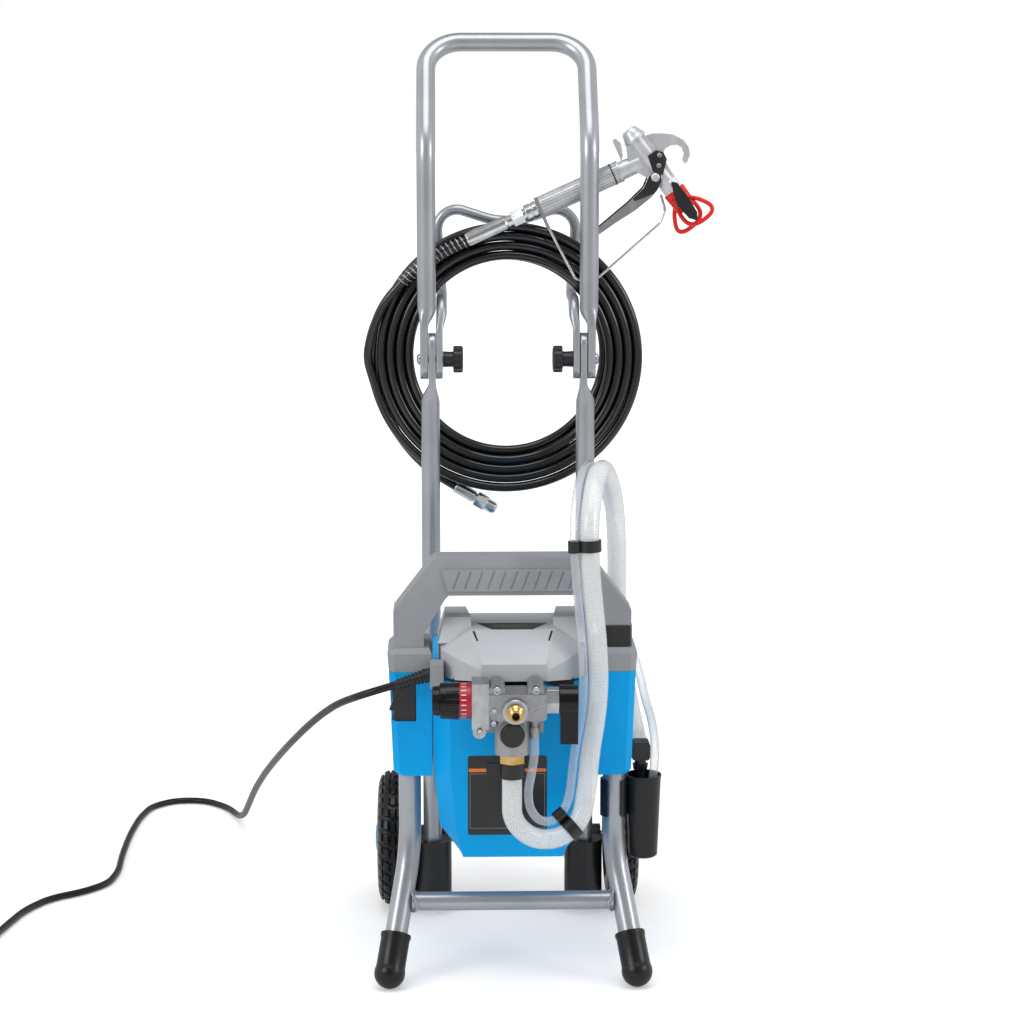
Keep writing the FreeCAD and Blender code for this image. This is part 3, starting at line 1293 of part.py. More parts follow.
def make_hose_clip(distance):
    """Figure-eight clip that holds the prime tube beside the suction hose."""
    nearby = suction_path.discretize(Distance=1.0)
    step = int(distance)
    along = (nearby[step + 1] - nearby[step - 1]).normalize()
    hose_at = nearby[step]
    tube_at = prime_path.distToShape(Part.Vertex(hose_at))[1][0][0]
    tube_at = tube_at - along * (tube_at - hose_at).dot(along)
    rings, bores = [], []
    for centre, r in ((hose_at, suction_hose_d / 2), (tube_at, prime_tube_d / 2)):
        rings.append(rod(tuple(centre - along * (clip_width / 2)), tuple(along), r + clip_wall, clip_width))
        bores.append(rod(tuple(centre - along * clip_width), tuple(along), r + seat_gap, 2 * clip_width))
    return rings[0].fuse(rings[1]).removeSplitter().cut(bores)


upper_clip = make_hose_clip(clip_upper_at)
lower_clip = make_hose_clip(clip_lower_at)
parts["hose_clips"] = Part.makeCompound([upper_clip, lower_clip])

# Power cord

cord_exit = V(-92.0, -46.0, 355.0)
relief_axis = V(-1.0, 0.0, -0.30).normalize()
relief_length = 41.0
relief_end = cord_exit + relief_axis * relief_length
lug_block = box(cord_exit.x, -77.0, -58.0, shell_side_y - 4.0, 341.5, 369.0)
lug_block = lug_block.cut([parts["motor_housing"], parts["hood"]])
relief = turned(tuple(cord_exit - relief_axis * 4.0), tuple(relief_axis),
                [(0, 7.5), (10, 7.5), (12, 6.6), (relief_length + 4.0, 4.6)])
parts["cord_inlet"] = lug_block.fuse(relief).removeSplitter()

floor_z = power_cord_d / 2 + cord_lift
plug_length = 42.0
plug_r = 13.5
plug_end = V(-640.0, -42.0, plug_r + cord_lift)
plug_axis = V(-0.20, -0.98, 0.0).normalize()
cord_points = [tuple(relief_end), tuple(relief_end + relief_axis * 38.0), (-196, -6, 313), (-218, 42, 288),
               (-240, 95, 258), (-264, 165, 220), (-286, 245, 180), (-306, 325, 140), (-324, 405, 98),
               (-338, 480, 58), (-350, 545, 24), (-362, 600, 5.5), (-382, 648, floor_z), (-416, 682, floor_z),
               (-458, 684, floor_z), (-488, 654, floor_z), (-498, 600, floor_z), (-502, 520, floor_z),
               (-501, 430, floor_z), (-497, 356, floor_z), (-503, 306, floor_z), (-530, 272, floor_z),
               (-568, 246, floor_z), (-592, 200, floor_z), (-606, 135, floor_z), (-618, 65, 6.5),
               tuple(plug_end - plug_axis * 40.0), tuple(plug_end)]
parts["power_cord"] = cord("power_cord", cord_points, power_cord_d)


def make_plug():
    """Moulded three-pin plug lying on the floor."""
    body = turned(tuple(plug_end), tuple(plug_axis), [(0, 6.0), (14, 8.5), (18, plug_r), (plug_length, plug_r)])
    across = plug_axis.cross(V(0, 0, 1))
    face = plug_end + plug_axis * (plug_length - 1)
    pins = []
    for side in (-1, 1):
        blade = box(-0.8, 0.8, -3.2, 3.2, 0, 18.0)
        blade.Placement = FreeCAD.Placement(face + across * (side * 6.3) + V(0, 0, 2.5),
                                            FreeCAD.Rotation(across, V(0, 0, 1), plug_axis, "ZXY"))
        pins.append(blade)
    earth = rod(tuple(face + V(0, 0, -7.0)), tuple(plug_axis), 2.4, 20.0)
    return body.fuse(pins + [earth]).removeSplitter()


parts["power_plug"] = make_plug()

# Shift so that the object's own pieces stand centred on the origin, and write them

cord_nodes = {"paint_hose_coil", "paint_hose_whip", "hose_end_fitting", "whip_fitting", "spring_guard",
              "suction_hose", "prime_tube", "hose_clips", "power_cord", "power_plug"}
bounds = FreeCAD.BoundBox()
for name, shape in parts.items():
    if name not in cord_nodes:
        bounds.add(shape.BoundBox)
shift = V(-bounds.Center.x, -bounds.Center.y, -bounds.ZMin)
print("shift", [round(c, 3) for c in shift], "size", [round(c, 1) for c in (bounds.XLength, bounds.YLength,
                                                                        bounds.ZLength)])
for name, shape in parts.items():
    moved = shape.copy()
    moved.translate(shift)
    if not moved.isValid() or len(moved.Solids) != 1:
        print("look at", name, "valid", moved.isValid(), "solids", len(moved.Solids))
    moved.exportStep("parts/" + name + ".step")
print("nodes", len(parts))
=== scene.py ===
"""An airless paint sprayer on a two-wheeled cart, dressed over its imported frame."""
import math

import bmesh
import bpy
import numpy as np
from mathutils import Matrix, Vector


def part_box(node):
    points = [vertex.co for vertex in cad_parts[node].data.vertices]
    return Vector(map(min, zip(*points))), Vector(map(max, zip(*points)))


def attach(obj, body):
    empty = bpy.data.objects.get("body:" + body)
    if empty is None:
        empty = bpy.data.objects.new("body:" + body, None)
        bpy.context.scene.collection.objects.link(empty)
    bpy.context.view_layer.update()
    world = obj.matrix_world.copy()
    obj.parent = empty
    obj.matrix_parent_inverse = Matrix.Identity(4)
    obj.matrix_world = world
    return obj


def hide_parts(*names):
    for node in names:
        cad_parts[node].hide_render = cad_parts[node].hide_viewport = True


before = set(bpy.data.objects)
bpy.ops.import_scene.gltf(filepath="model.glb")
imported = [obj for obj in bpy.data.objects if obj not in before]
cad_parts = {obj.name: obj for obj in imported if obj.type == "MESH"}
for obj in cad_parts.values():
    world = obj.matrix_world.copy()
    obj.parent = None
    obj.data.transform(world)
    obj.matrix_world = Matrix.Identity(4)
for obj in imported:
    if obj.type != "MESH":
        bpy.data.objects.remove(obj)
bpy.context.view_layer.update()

# The photographed view: a camera at chest height, 2.8 m in front of the cart,
# tipped down by 9.5 degrees. Lengths here and below are millimetres on the cart,
# whose plane of symmetry is X = 0 and whose axle stands 240 mm behind the legs.
axle_low, axle_high = (np.array(corner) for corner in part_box("axle"))
axle_y = 240.0
wheel_r = 82.5
cart_origin = (axle_low + axle_high) * 500.0 - np.array([0.0, axle_y, wheel_r])


def at(points):
    """Row-frame metres: the cart's origin plus millimetres, times 0.001."""
    return (np.asarray(points, float) + cart_origin) * 0.001


camera_distance = 2810.0
camera_height = 1000.0
camera_turn = math.radians(-1.4)
camera_tip = math.radians(9.5)
camera = bpy.data.objects.new("camera", bpy.data.cameras.new("camera"))
camera.data.lens = 89.65
camera.data.sensor_width = 36.0
camera.location = at((camera_distance * math.sin(camera_turn), -camera_distance * math.cos(camera_turn),
                      camera_height))
looking = Vector((-math.sin(camera_turn) * math.cos(camera_tip), math.cos(camera_turn) * math.cos(camera_tip),
                  -math.sin(camera_tip)))
camera.rotation_euler = looking.to_track_quat("-Z", "Y").to_euler()
camera.data.clip_end = 100.0
bpy.context.collection.objects.link(camera)
bpy.context.scene.camera = camera
bpy.context.scene.view_settings.view_transform = "Standard"


def linear(code):
    """Linear colour of an sRGB hex code: ((c + 0.055) / 1.055) to the power 2.4, or c / 12.92 when dark."""
    channels = np.array([int(code[k:k + 2], 16) / 255 for k in (1, 3, 5)])
    levels = np.where(channels > 0.04045, ((channels + 0.055) / 1.055) ** 2.4, channels / 12.92)
    return (*levels, 1.0)


def add(material, kind, inputs=None, **settings):
    """A shader node with its settings; each input is given a value or another node's output."""
    node = material.node_tree.nodes.new("ShaderNode" + kind)
    for name, value in settings.items():
        setattr(node, name, value)
    for name, value in (inputs or {}).items():
        if isinstance(value, bpy.types.NodeSocket):
            material.node_tree.links.new(value, node.inputs[name])
        else:
            node.inputs[name].default_value = value
    return node


def finish(name, shader):
    """A material whose surface is built by the function shader(material)."""
    material = bpy.data.materials.new(name)
    material.use_nodes = True
    material.node_tree.nodes.clear()
    out = add(material, "OutputMaterial")
    material.node_tree.links.new(shader(material), out.inputs["Surface"])
    return material


# White studio: a white floor and a white world, with wide soft lamps to the left,
# to the right and above. Camera and glass rays see plain white; mirror rays see
# bright walls to both sides and a darker room before and behind, which shapes metal.


def studio_white(material):
    """1 for camera rays and rays through glass, 0 for all others."""
    path = add(material, "LightPath")
    return add(material, "Math", {0: path.outputs["Is Camera Ray"], 1: path.outputs["Is Transmission Ray"]},
               operation="MAXIMUM").outputs[0]


world = bpy.data.worlds.new("studio")
bpy.context.scene.world = world
world.use_nodes = True
world.node_tree.nodes.clear()
ray_way = add(world, "SeparateXYZ", {"Vector": add(world, "TexCoord").outputs["Generated"]})
sideways = add(world, "Math", {0: ray_way.outputs["X"]}, operation="ABSOLUTE")
walls = add(world, "MapRange", {"Value": sideways.outputs[0], "From Min": 0.15, "From Max": 0.85,
                                "To Min": 0.30, "To Max": 0.95})
mirrored = add(world, "Mix", {"Factor": add(world, "LightPath").outputs["Is Glossy Ray"], "A": 0.62,
                              "B": walls.outputs[0]}, data_type="FLOAT")
world_level = add(world, "Mix", {"Factor": studio_white(world), "A": mirrored.outputs[0], "B": 1.0},
                  data_type="FLOAT")
world_light = add(world, "Background", {"Color": linear("#FFFFFF"), "Strength": world_level.outputs[0]})
world_out = add(world, "OutputWorld")
world.node_tree.links.new(world_light.outputs[0], world_out.inputs["Surface"])


def floor_paper(material):
    """Matt white paper, lifted for the camera by more with distance, so that it meets the white world."""
    paper = add(material, "BsdfDiffuse", {"Color": linear("#F2F2F2")})
    where = add(material, "TexCoord")
    away = add(material, "VectorMath", {0: where.outputs["Object"]}, operation="LENGTH")
    rise = add(material, "MapRange", {"Value": away.outputs["Value"], "From Min": 0.5, "From Max": 3.5,
                                      "To Min": 0.30, "To Max": 0.75})
    lift = add(material, "Math", {0: studio_white(material), 1: rise.outputs[0]}, operation="MULTIPLY")
    glow = add(material, "Emission", {"Color": linear("#FFFFFF"), "Strength": lift.outputs[0]})
    return add(material, "AddShader", {0: paper.outputs[0], 1: glow.outputs[0]}).outputs[0]


floor_half, floor_drop = 12.0, 0.0005
floor_mesh = bpy.data.meshes.new("studio_floor")
floor_mesh.from_pydata([(-floor_half, -floor_half, -floor_drop), (floor_half, -floor_half, -floor_drop),
                        (floor_half, 3 * floor_half, -floor_drop), (-floor_half, 3 * floor_half, -floor_drop)],
                       [], [(0, 1, 2, 3)])
floor = bpy.data.objects.new("studio_floor", floor_mesh)
floor_mesh.materials.append(finish("floor_paper", floor_paper))
bpy.context.collection.objects.link(floor)


def softbox(name, place, aim, size, power):
    """A square lamp of the given side in metres, turned towards a point."""
    light = bpy.data.lights.new(name, "AREA")
    light.size = size
    light.energy = power
    lamp = bpy.data.objects.new(name, light)
    lamp.location = place
    lamp.rotation_euler = (Vector(aim) - Vector(place)).to_track_quat("-Z", "Y").to_euler()
    bpy.context.collection.objects.link(lamp)


softbox("left_softbox", (-2.2, -1.8, 1.9), (0.0, 0.0, 0.5), 1.3, 26.0)
softbox("right_softbox", (2.4, -1.2, 1.6), (0.0, 0.0, 0.5), 1.0, 16.0)
softbox("top_softbox", (0.0, -0.6, 3.0), (0.0, 0.0, 0.4), 1.8, 30.0)

# Cart tubes: 22 mm steel for the uprights and the folding handle, 25 mm for the
# legs, bent cold, pressed flat at the folding joint, welded and powder coated.


def grain(material, spacing, height, detail=2.0):
    """Bump from noise whose features are spacing millimetres apart and height millimetres deep."""
    where = add(material, "TexCoord")
    noise = add(material, "TexNoise", {"Vector": where.outputs["Object"], "Scale": 1000.0 / spacing,
                                       "Detail": detail})
    return add(material, "Bump", {"Height": noise.outputs[0], "Distance": height * 0.001,
                                  "Strength": 1.0}).outputs[0]


def mottled(material, spacing, low, high, detail=3.0, roughness=0.5, edges=(0.35, 0.65)):
    """A colour that wanders between two hex codes over patches spacing millimetres apart."""
    where = add(material, "TexCoord")
    noise = add(material, "TexNoise", {"Vector": where.outputs["Object"], "Scale": 1000.0 / spacing,
                                       "Detail": detail, "Roughness": roughness})
    ramp = add(material, "ValToRGB", {"Fac": noise.outputs[0]})
    for stop, position, code in zip(ramp.color_ramp.elements, edges, (low, high)):
        stop.position, stop.color = position, linear(code)
    return ramp.outputs[0]


def powder_coat(material):
    """Polyester powder coat with metal flake: satin, with faint orange peel a millimetre or two wide."""
    return add(material, "BsdfPrincipled", {
        "Base Color": mottled(material, 60.0, "#A0A4A9", "#A9ADB2"), "Metallic": 0.62, "Roughness": 0.3,
        "Coat Weight": 0.25, "Coat Roughness": 0.15, "Normal": grain(material, 1.6, 0.012)}).outputs[0]


silver = finish("silver_powder_coat", powder_coat)


def unit(v):
    """A vector at length 1."""
    v = np.asarray(v, float)
    return v / np.linalg.norm(v)


def smooth(t):
    """Smoothstep: 3t² - 2t³ with t held between 0 and 1."""
    t = np.clip(t, 0.0, 1.0)
    return t * t * (3 - 2 * t)


def distances(path):
    """Distance of each point of a path from its start."""
    return np.concatenate([[0.0], np.cumsum(np.linalg.norm(np.diff(path, axis=0), axis=1))])


def resample(path, step):
    """Points a steady step apart along a path."""
    run = distances(path)
    count = max(2, int(round(run[-1] / step)) + 1)
    where = np.linspace(0.0, run[-1], count)
    return np.stack([np.interp(where, run, path[:, k]) for k in range(3)], axis=1)


def bent(points, radii, step=4.0):
    """Straight runs joined by arcs: start + t0·r·sin(a) + n·r·(1 - cos(a)) over each turn a."""
    points = np.asarray(points, float)
    pieces = [points[:1]]
    for corner, radius in zip(range(1, len(points) - 1), radii):
        t0, t1 = unit(points[corner] - points[corner - 1]), unit(points[corner + 1] - points[corner])
        turn = math.acos(np.clip(t0 @ t1, -1, 1))
        across = unit(t1 - t0 * (t0 @ t1))
        a = np.linspace(0.0, turn, 16)[:, None]
        start = points[corner] - t0 * radius * math.tan(turn / 2)
        pieces.append(start + t0 * radius * np.sin(a) + across * radius * (1 - np.cos(a)))
    pieces.append(points[-1:])
    return resample(np.concatenate(pieces), step)


def carried(path, side):
    """Directions square to a path: the first is the given side, kept square from station to station."""
    along = np.gradient(path, axis=0)
    along /= np.linalg.norm(along, axis=1)[:, None]
    sides = []
    side = np.asarray(side, float)
    for t in along:
        side = unit(side - t * (side @ t))
        sides.append(side)
    sides = np.array(sides)
    return sides, np.cross(along, sides)


def full_turn(count):
    """Even angles round a full turn, the last one a step short of the first."""
    return np.linspace(0.0, 2 * math.pi, count, endpoint=False)


def superellipse(angle, power):
    """Unit superellipse of power n: sign·|cos|^(2/n) and sign·|sin|^(2/n) of each angle."""
    return [np.sign(wave) * np.abs(wave) ** (2 / power) for wave in (np.cos(angle), np.sin(angle))]


def swept(path, a, b, side=(1.0, 0.0, 0.0), sides=32, power=2.0):
    """Superellipse rings along a path: half size a along the side direction and b across it."""
    across, up = carried(path, side)
    n, a, b = (np.broadcast_to(np.asarray(v, float), (len(path),))[:, None] for v in (power, a, b))
    x, y = superellipse(full_turn(sides)[None, :], n)
    return path[:, None, :] + (a * x)[..., None] * across[:, None, :] + (b * y)[..., None] * up[:, None, :]


def turned(base, axis, profile, sides=48, ring=1.0):
    """Rings of a (distance, radius) profile about an axis; ring scales the radius at each angle."""
    axis = unit(axis)
    first = unit(np.cross(axis, (0.0, 0.0, 1.0) if abs(axis[2]) < 0.9 else (1.0, 0.0, 0.0)))
    second = np.cross(axis, first)
    along, radius = np.asarray(profile, float).T
    angle = full_turn(sides)
    round_part = np.cos(angle)[:, None] * first + np.sin(angle)[:, None] * second
    reach = radius[:, None] * np.broadcast_to(ring, (sides,))[None, :]
    return np.asarray(base, float) + along[:, None, None] * axis + reach[..., None] * round_part[None]


def crisp(mesh, limit=34.0):
    """Outward normals, and edges kept sharp where faces meet at more than the limit."""
    work = bmesh.new()
    work.from_mesh(mesh)
    bmesh.ops.remove_doubles(work, verts=work.verts, dist=1e-6)
    bmesh.ops.recalc_face_normals(work, faces=work.faces)
    for face in work.faces:
        face.smooth = True
    for edge in work.edges:
        edge.smooth = len(edge.link_faces) != 2 or edge.calc_face_angle(0.0) < math.radians(limit)
    work.to_mesh(mesh)
    work.free()


def skin(name, grids, material, body, ends=True, loop=False, covers=(), limit=34.0):
    """One object from grids of rings: quads between rings, a fan on each end, UV in metres round and along."""
    verts, faces, uvs, count = [], [], [], 0
    for grid in grids if isinstance(grids, list) else [grids]:
        rows, cols, _ = grid.shape
        i = np.arange(rows if loop else rows - 1)[:, None]
        j = np.arange(cols)[None, :]
        corners = ((i, j), (i, (j + 1) % cols), ((i + 1) % rows, (j + 1) % cols), ((i + 1) % rows, j))
        quads = np.stack([r * cols + c for r, c in corners], axis=-1).reshape(-1, 4)
        faces += (quads + count).tolist()
        run = distances(grid.mean(axis=1)) * 0.001
        run = np.append(run, 2 * run[-1] - run[-2])
        around = np.linalg.norm(grid[rows // 2] - np.roll(grid[rows // 2], 1, axis=0), axis=1).sum() * 0.001
        u = np.stack(np.broadcast_arrays(j, j + 1, j + 1, j + 0 * i), axis=-1) * around / cols
        v = np.stack(np.broadcast_arrays(run[i], run[i], run[i + 1], run[i + 1] + 0 * j), axis=-1)
        uvs.append(np.stack(np.broadcast_arrays(u, v), axis=-1).reshape(-1, 2))
        verts.append(grid.reshape(-1, 3))
        if ends and not loop:
            ring = np.arange(cols)
            for k, row in enumerate((0, rows - 1)):
                first = count + row * cols
                hub = count + rows * cols + k
                fan = np.stack([np.full(cols, hub), first + ring, first + (ring + 1) % cols], axis=1)
                faces += fan.tolist()
                verts.append(grid[row].mean(axis=0)[None])
                uvs.append(np.zeros((cols * 3, 2)))
        count = sum(len(part) for part in verts)
    mesh = bpy.data.meshes.new(name)
    mesh.from_pydata(at(np.concatenate(verts)).tolist(), [], faces)
    layer = mesh.uv_layers.new(name="UVMap")
    layer.data.foreach_set("uv", np.concatenate(uvs).astype(np.float32).ravel())
    crisp(mesh, limit)
    mesh.materials.append(material)
    piece = bpy.data.objects.new(name, mesh)
    bpy.context.collection.objects.link(piece)
    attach(piece, body)
    if covers:
        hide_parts(*covers)
    return piece


upright_x, upright_y, upright_r, upright_foot_z = 92.0, 200.0, 11.1, 12.0
pivot_z, tongue_t, cheek_t = 680.0, 8.5, 9.5
flat_half = (math.pi * upright_r - tongue_t) / 2
eye_low, eye_high = pivot_z - 23.0, pivot_z + 31.0
press_ease = 23.0


def side_name(side):
    """The word for a side in names: right for +1, left for -1."""
    return "right" if side > 0 else "left"


def both_sides(make):
    """The same piece on the right (+1) and on the left (-1)."""
    return [make(side) for side in (1, -1)]


def from_ends(path):
    """Distance of each point of a path from the nearer of its ends."""
    run = distances(path)
    return np.minimum(run, run[-1] - run)


def pressed_tube(node, kind, path, s, radius, thick, flat_length, shift, body):
    """Tube pressed flat, and set outwards by shift, where the distance s from its end is short.

    Half sizes go from thick/2 and flat_half to the radius, and the tip is sqrt(1 - (1 - s/flat_half)²) wide."""
    ease = smooth((s - flat_length) / press_ease)
    a = thick / 2 + (radius - thick / 2) * ease
    tip = np.sqrt(1 - (1 - np.clip(s / flat_half, 0.03, 1)) ** 2)
    b = (flat_half + (radius - flat_half) * ease) * tip
    path[:, 0] += np.sign(path[:, 0]) * shift * (1 - ease)
    skin(f"{node}_{kind}", swept(path, a, b, power=8.0 - 6.0 * np.sqrt(ease)), silver, body, covers=[node])


def upright(side):
    """Tube from the axle sleeve up to the joint, where its tongue stands a little further in."""
    path = resample(np.array([(side * upright_x, upright_y, z) for z in (upright_foot_z, eye_high)]), 3.0)
    pressed_tube("upright_" + side_name(side), "tube", path, eye_high - path[:, 2], upright_r, tongue_t, 59.0,
                 -2.25, "cart")


both_sides(upright)

handle_x, kink_z, handle_top_z = 96.0, 937.0, 1051.0
handle_kink_r, handle_corner_r = 70.0, 42.0
handle_back_y = upright_y + (handle_top_z - kink_z) * math.tan(math.radians(40.0))
handle_half = [(handle_x, upright_y, eye_low), (handle_x, upright_y, kink_z),
               (handle_x, handle_back_y, handle_top_z)]
handle_path = bent(handle_half + [(-x, y, z) for x, y, z in reversed(handle_half)],
                   [handle_kink_r, handle_corner_r, handle_corner_r, handle_kink_r], 3.0)
pressed_tube("folding_handle", "tube", handle_path, from_ends(handle_path), upright_r, cheek_t, 61.0, 3.05,
             "handle")

hanger_x, hanger_r, hanger_back_y, hanger_arm_z = 78.25, 6.35, 285.0, 749.5
hanger_half = [(hanger_x, upright_y, eye_low), (hanger_x, upright_y, hanger_arm_z),
               (hanger_x, hanger_back_y, hanger_arm_z), (86.0, hanger_back_y, 862.0)]
hanger_points = hanger_half + [(0, hanger_back_y, 834.0)] + [(-x, y, z) for x, y, z in reversed(hanger_half)]
hanger_path = bent(hanger_points, [21.9, 22.0, 24.0, 90.0, 24.0, 22.0, 21.9], 3.0)
pressed_tube("hose_hanger", "rod", hanger_path, from_ends(hanger_path), hanger_r, 8.0, 56.0, 2.95, "cart")

leg_r = 12.7
leg_x = upright_x + upright_r + leg_r + 0.3
ball_r = 17.5
foot = np.array([139.0, -70.0, ball_r])
knee_z, rail_z, rail_past = 140.0, 256.0, 17.0
leg_drop = unit(foot - np.array([leg_x, 0.0, knee_z]))


def front_leg(side):
    """Leg and side rail are one tube: splayed foot, upright, then bent back to the upright."""
    name = "front_leg_" + side_name(side)
    points = np.array([foot - leg_drop * 2, (leg_x, 0, knee_z), (leg_x, 0, rail_z),
                       (leg_x, upright_y + rail_past, rail_z)])
    path = bent(points * (side, 1, 1), [120.0, 30.0])
    skin(name + "_tube", swept(path, leg_r, leg_r, sides=40), silver, "cart", covers=[name])


both_sides(front_leg)

bead_half, bead_ripple, bead_ripples = 2.0, 0.35, 22


def weld_bead(name, centre, along, inner_r, outer_r):
    """Fillet weld round a bar where it meets a tube: a saddle whose height is R - sqrt(R² - (r·cos)²)."""
    angle = full_turn(96)
    along = unit(along)
    up = unit(np.cross(along, (0.0, 1.0, 0.2)))
    side = np.cross(up, along)
    lift = outer_r - np.sqrt(outer_r ** 2 - (inner_r * np.cos(angle)) ** 2)
    out = side * np.cos(angle)[:, None] + up * np.sin(angle)[:, None]
    ring = np.asarray(centre) - along * lift[:, None] + out * (inner_r + 0.3)
    bead_r = bead_half + bead_ripple * np.sin(angle * bead_ripples)
    turn = full_turn(10)[None, :, None]
    grid = ring[:, None, :] + bead_r[:, None, None] * (np.cos(turn) * out[:, None, :] + np.sin(turn) * along)
    return skin(name, grid, silver, "cart", loop=True)


bar_z = 88.0
bar_y = leg_drop[1] / leg_drop[2] * (bar_z - knee_z)
bar_x = leg_x + leg_drop[0] / leg_drop[2] * (bar_z - knee_z)
for name, y, z, x, r, outer_r, covers in (
        ("front_crossbar", bar_y, bar_z, bar_x, 10.65, leg_r, ["crossbars"]),
        ("rear_crossbar", upright_y, 300.0, upright_x, upright_r, upright_r, [])):
    end_x = x - outer_r + 1.0
    bar = resample(np.array([(-end_x, y, z), (end_x, y, z)]), 8.0)
    skin(name, swept(bar, r, r, side=(0, 1, 0)), silver, "cart", covers=covers)
    for side in (1, -1):
        weld_bead(f"{name}_weld_{side_name(side)}", (side * (x - outer_r + 0.4), y, z), (side, 0, 0), r,
                  outer_r + 0.5)

# Rubber feet: moulded boots pushed on to the legs, with a rolled lip and a ball end.


def moulded_rubber(material):
    """Black moulded rubber: soft sheen and a fine pebble from the tool."""
    return add(material, "BsdfPrincipled", {
        "Base Color": mottled(material, 25.0, "#08080A", "#0E0E10"), "Roughness": 0.32, "Specular IOR Level": 0.4,
        "Normal": grain(material, 1.2, 0.015)}).outputs[0]


rubber = finish("moulded_black_rubber", moulded_rubber)


def foot_cap(side):
    """Arc of the ball from the floor up, then the boot's wall and its rolled lip."""
    arc = np.radians(np.linspace(-90, 18, 16))
    ball = [(ball_r * math.sin(t), ball_r * math.cos(t)) for t in arc]
    profile = ball + [(8, 16.4), (38, 16.3), (41, 17.2), (44.0, 17.2), (45.0, 16.4), (45.0, 12.9)]
    return turned(foot * (side, 1, 1), -leg_drop * (side, 1, 1), profile)


skin("foot_boots", both_sides(foot_cap), rubber, "cart", covers=["foot_caps"])

# Folding joint: a zinc carriage bolt through cheek, tongue and hanger eye on each
# side, drawn tight by a black six-lobed hand knob on the inside.


def zinc_plate(material):
    """Bright zinc: bluish metal with a slightly clouded shine."""
    return add(material, "BsdfPrincipled", {
        "Base Color": mottled(material, 6.0, "#A9ADB2", "#C6CACE"), "Metallic": 1.0,
        "Roughness": 0.26}).outputs[0]


def moulded_black(material):
    """Glass-filled nylon, black: satin with the fine spark-eroded texture of its tool."""
    return add(material, "BsdfPrincipled", {
        "Base Color": mottled(material, 30.0, "#121213", "#1A1A1C"), "Roughness": 0.38,
        "Normal": grain(material, 0.9, 0.02)}).outputs[0]


zinc = finish("bright_zinc", zinc_plate)
black = finish("moulded_black_nylon", moulded_black)


def joint_bolt(side):
    return turned((side * 58.9, upright_y, pivot_z), (side, 0, 0),
                  [(0, 4.0), (45.2, 4.0), (45.2, 6.5), (46.4, 6.5), (47.6, 5.6), (48.6, 4.0), (49.2, 2.0)])


skin("carriage_bolts", both_sides(joint_bolt), zinc, "cart", covers=["joint_bolts"])
lobes = 1.0 - 0.10 * (0.5 + 0.5 * np.cos(6 * full_turn(96))) ** 1.5


def clamp_knob(side):
    """Neck and lobed head; the radius dips six times round the head."""
    name, start, inwards = side_name(side), (side * 76.9, upright_y, pivot_z), (-side, 0, 0)
    neck = turned(start, inwards, [(0, 9.5), (9, 9.0), (12.5, 9.4)])
    head = turned(start, inwards, [(12, 9.0), (12.2, 14.6), (13.2, 15.9), (22.0, 15.9), (23.4, 14.8), (23.9, 12.5),
                                   (23.4, 9.0), (23.4, 1.0)], 96, lobes)
    skin(f"hand_knob_{name}", [neck, head], black, f"knob_{name}", covers=[f"clamp_knob_{name}"])


both_sides(clamp_knob)

# Rail fixings: small zinc-plated dome-headed bolts hold each side rail to its upright,
# and a plug of black nylon closes each rail's open end.


def rail_bolt(side):
    return turned((side * (leg_x + leg_r - 0.4), upright_y, rail_z), (side, 0, 0),
                  [(0, 7.2), (1.2, 7.2), (2.4, 6.2), (3.6, 4.0), (4.0, 1.0)])


def rail_plug(side):
    return turned((side * leg_x, upright_y + rail_past - 2.0, rail_z), (0, 1, 0),
                  [(0, 11.0), (2, 12.4), (4.4, 12.4), (5.6, 11.0)])


skin("rail_bolts", both_sides(rail_bolt), zinc, "cart")
skin("rail_plugs", both_sides(rail_plug), black, "cart")

# Axle brackets: black moulded sleeves round the uprights, each with an eye for the
# steel axle. Their frame solids are kept, with eased edges.


def eased(name, material, body, edge=0.8, limit=32.0, segments=2, fine=None):
    """The frame's own solid, welded, its flat faces rejoined and its sharp edges rounded by edge millimetres.

    Edges whose middles, in cart millimetres, pass the test fine get a tenth of that."""
    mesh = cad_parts[name].data.copy()
    mesh.name = name + "_skin"
    work = bmesh.new()
    work.from_mesh(mesh)
    bmesh.ops.remove_doubles(work, verts=work.verts, dist=2e-6)

    def is_fine(line):
        return bool(fine) and fine(np.array((line.verts[0].co + line.verts[1].co) * 500.0) - cart_origin)

    coarse = [line for line in work.edges if not is_fine(line)]
    bmesh.ops.dissolve_limit(work, angle_limit=math.radians(0.6), verts=[] if fine else work.verts,
                             edges=coarse)
    for face in work.faces:
        face.smooth = True
    weight = work.edges.layers.float.new("bevel_weight_edge")
    for line in work.edges:
        line.smooth = len(line.link_faces) != 2 or line.calc_face_angle(0.0) < math.radians(limit)
        line[weight] = 0.0 if line.smooth else 0.1 if is_fine(line) else 1.0
    work.to_mesh(mesh)
    work.free()
    if "custom_normal" in mesh.attributes:
        mesh.attributes.remove(mesh.attributes["custom_normal"])
    mesh.materials.clear()
    mesh.materials.append(material)
    piece = bpy.data.objects.new(name + "_skin", mesh)
    bpy.context.collection.objects.link(piece)
    if edge:
        bevel = piece.modifiers.new("eased_edges", "BEVEL")
        bevel.width = edge * 0.001
        bevel.segments = segments
        bevel.limit_method = "WEIGHT"
        bevel.miter_outer = "MITER_ARC"
        even = piece.modifiers.new("flat_faces", "WEIGHTED_NORMAL")
        even.keep_sharp = True
    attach(piece, body)
    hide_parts(name)
    return piece


eased("axle_sleeves", black, "cart", 1.6)
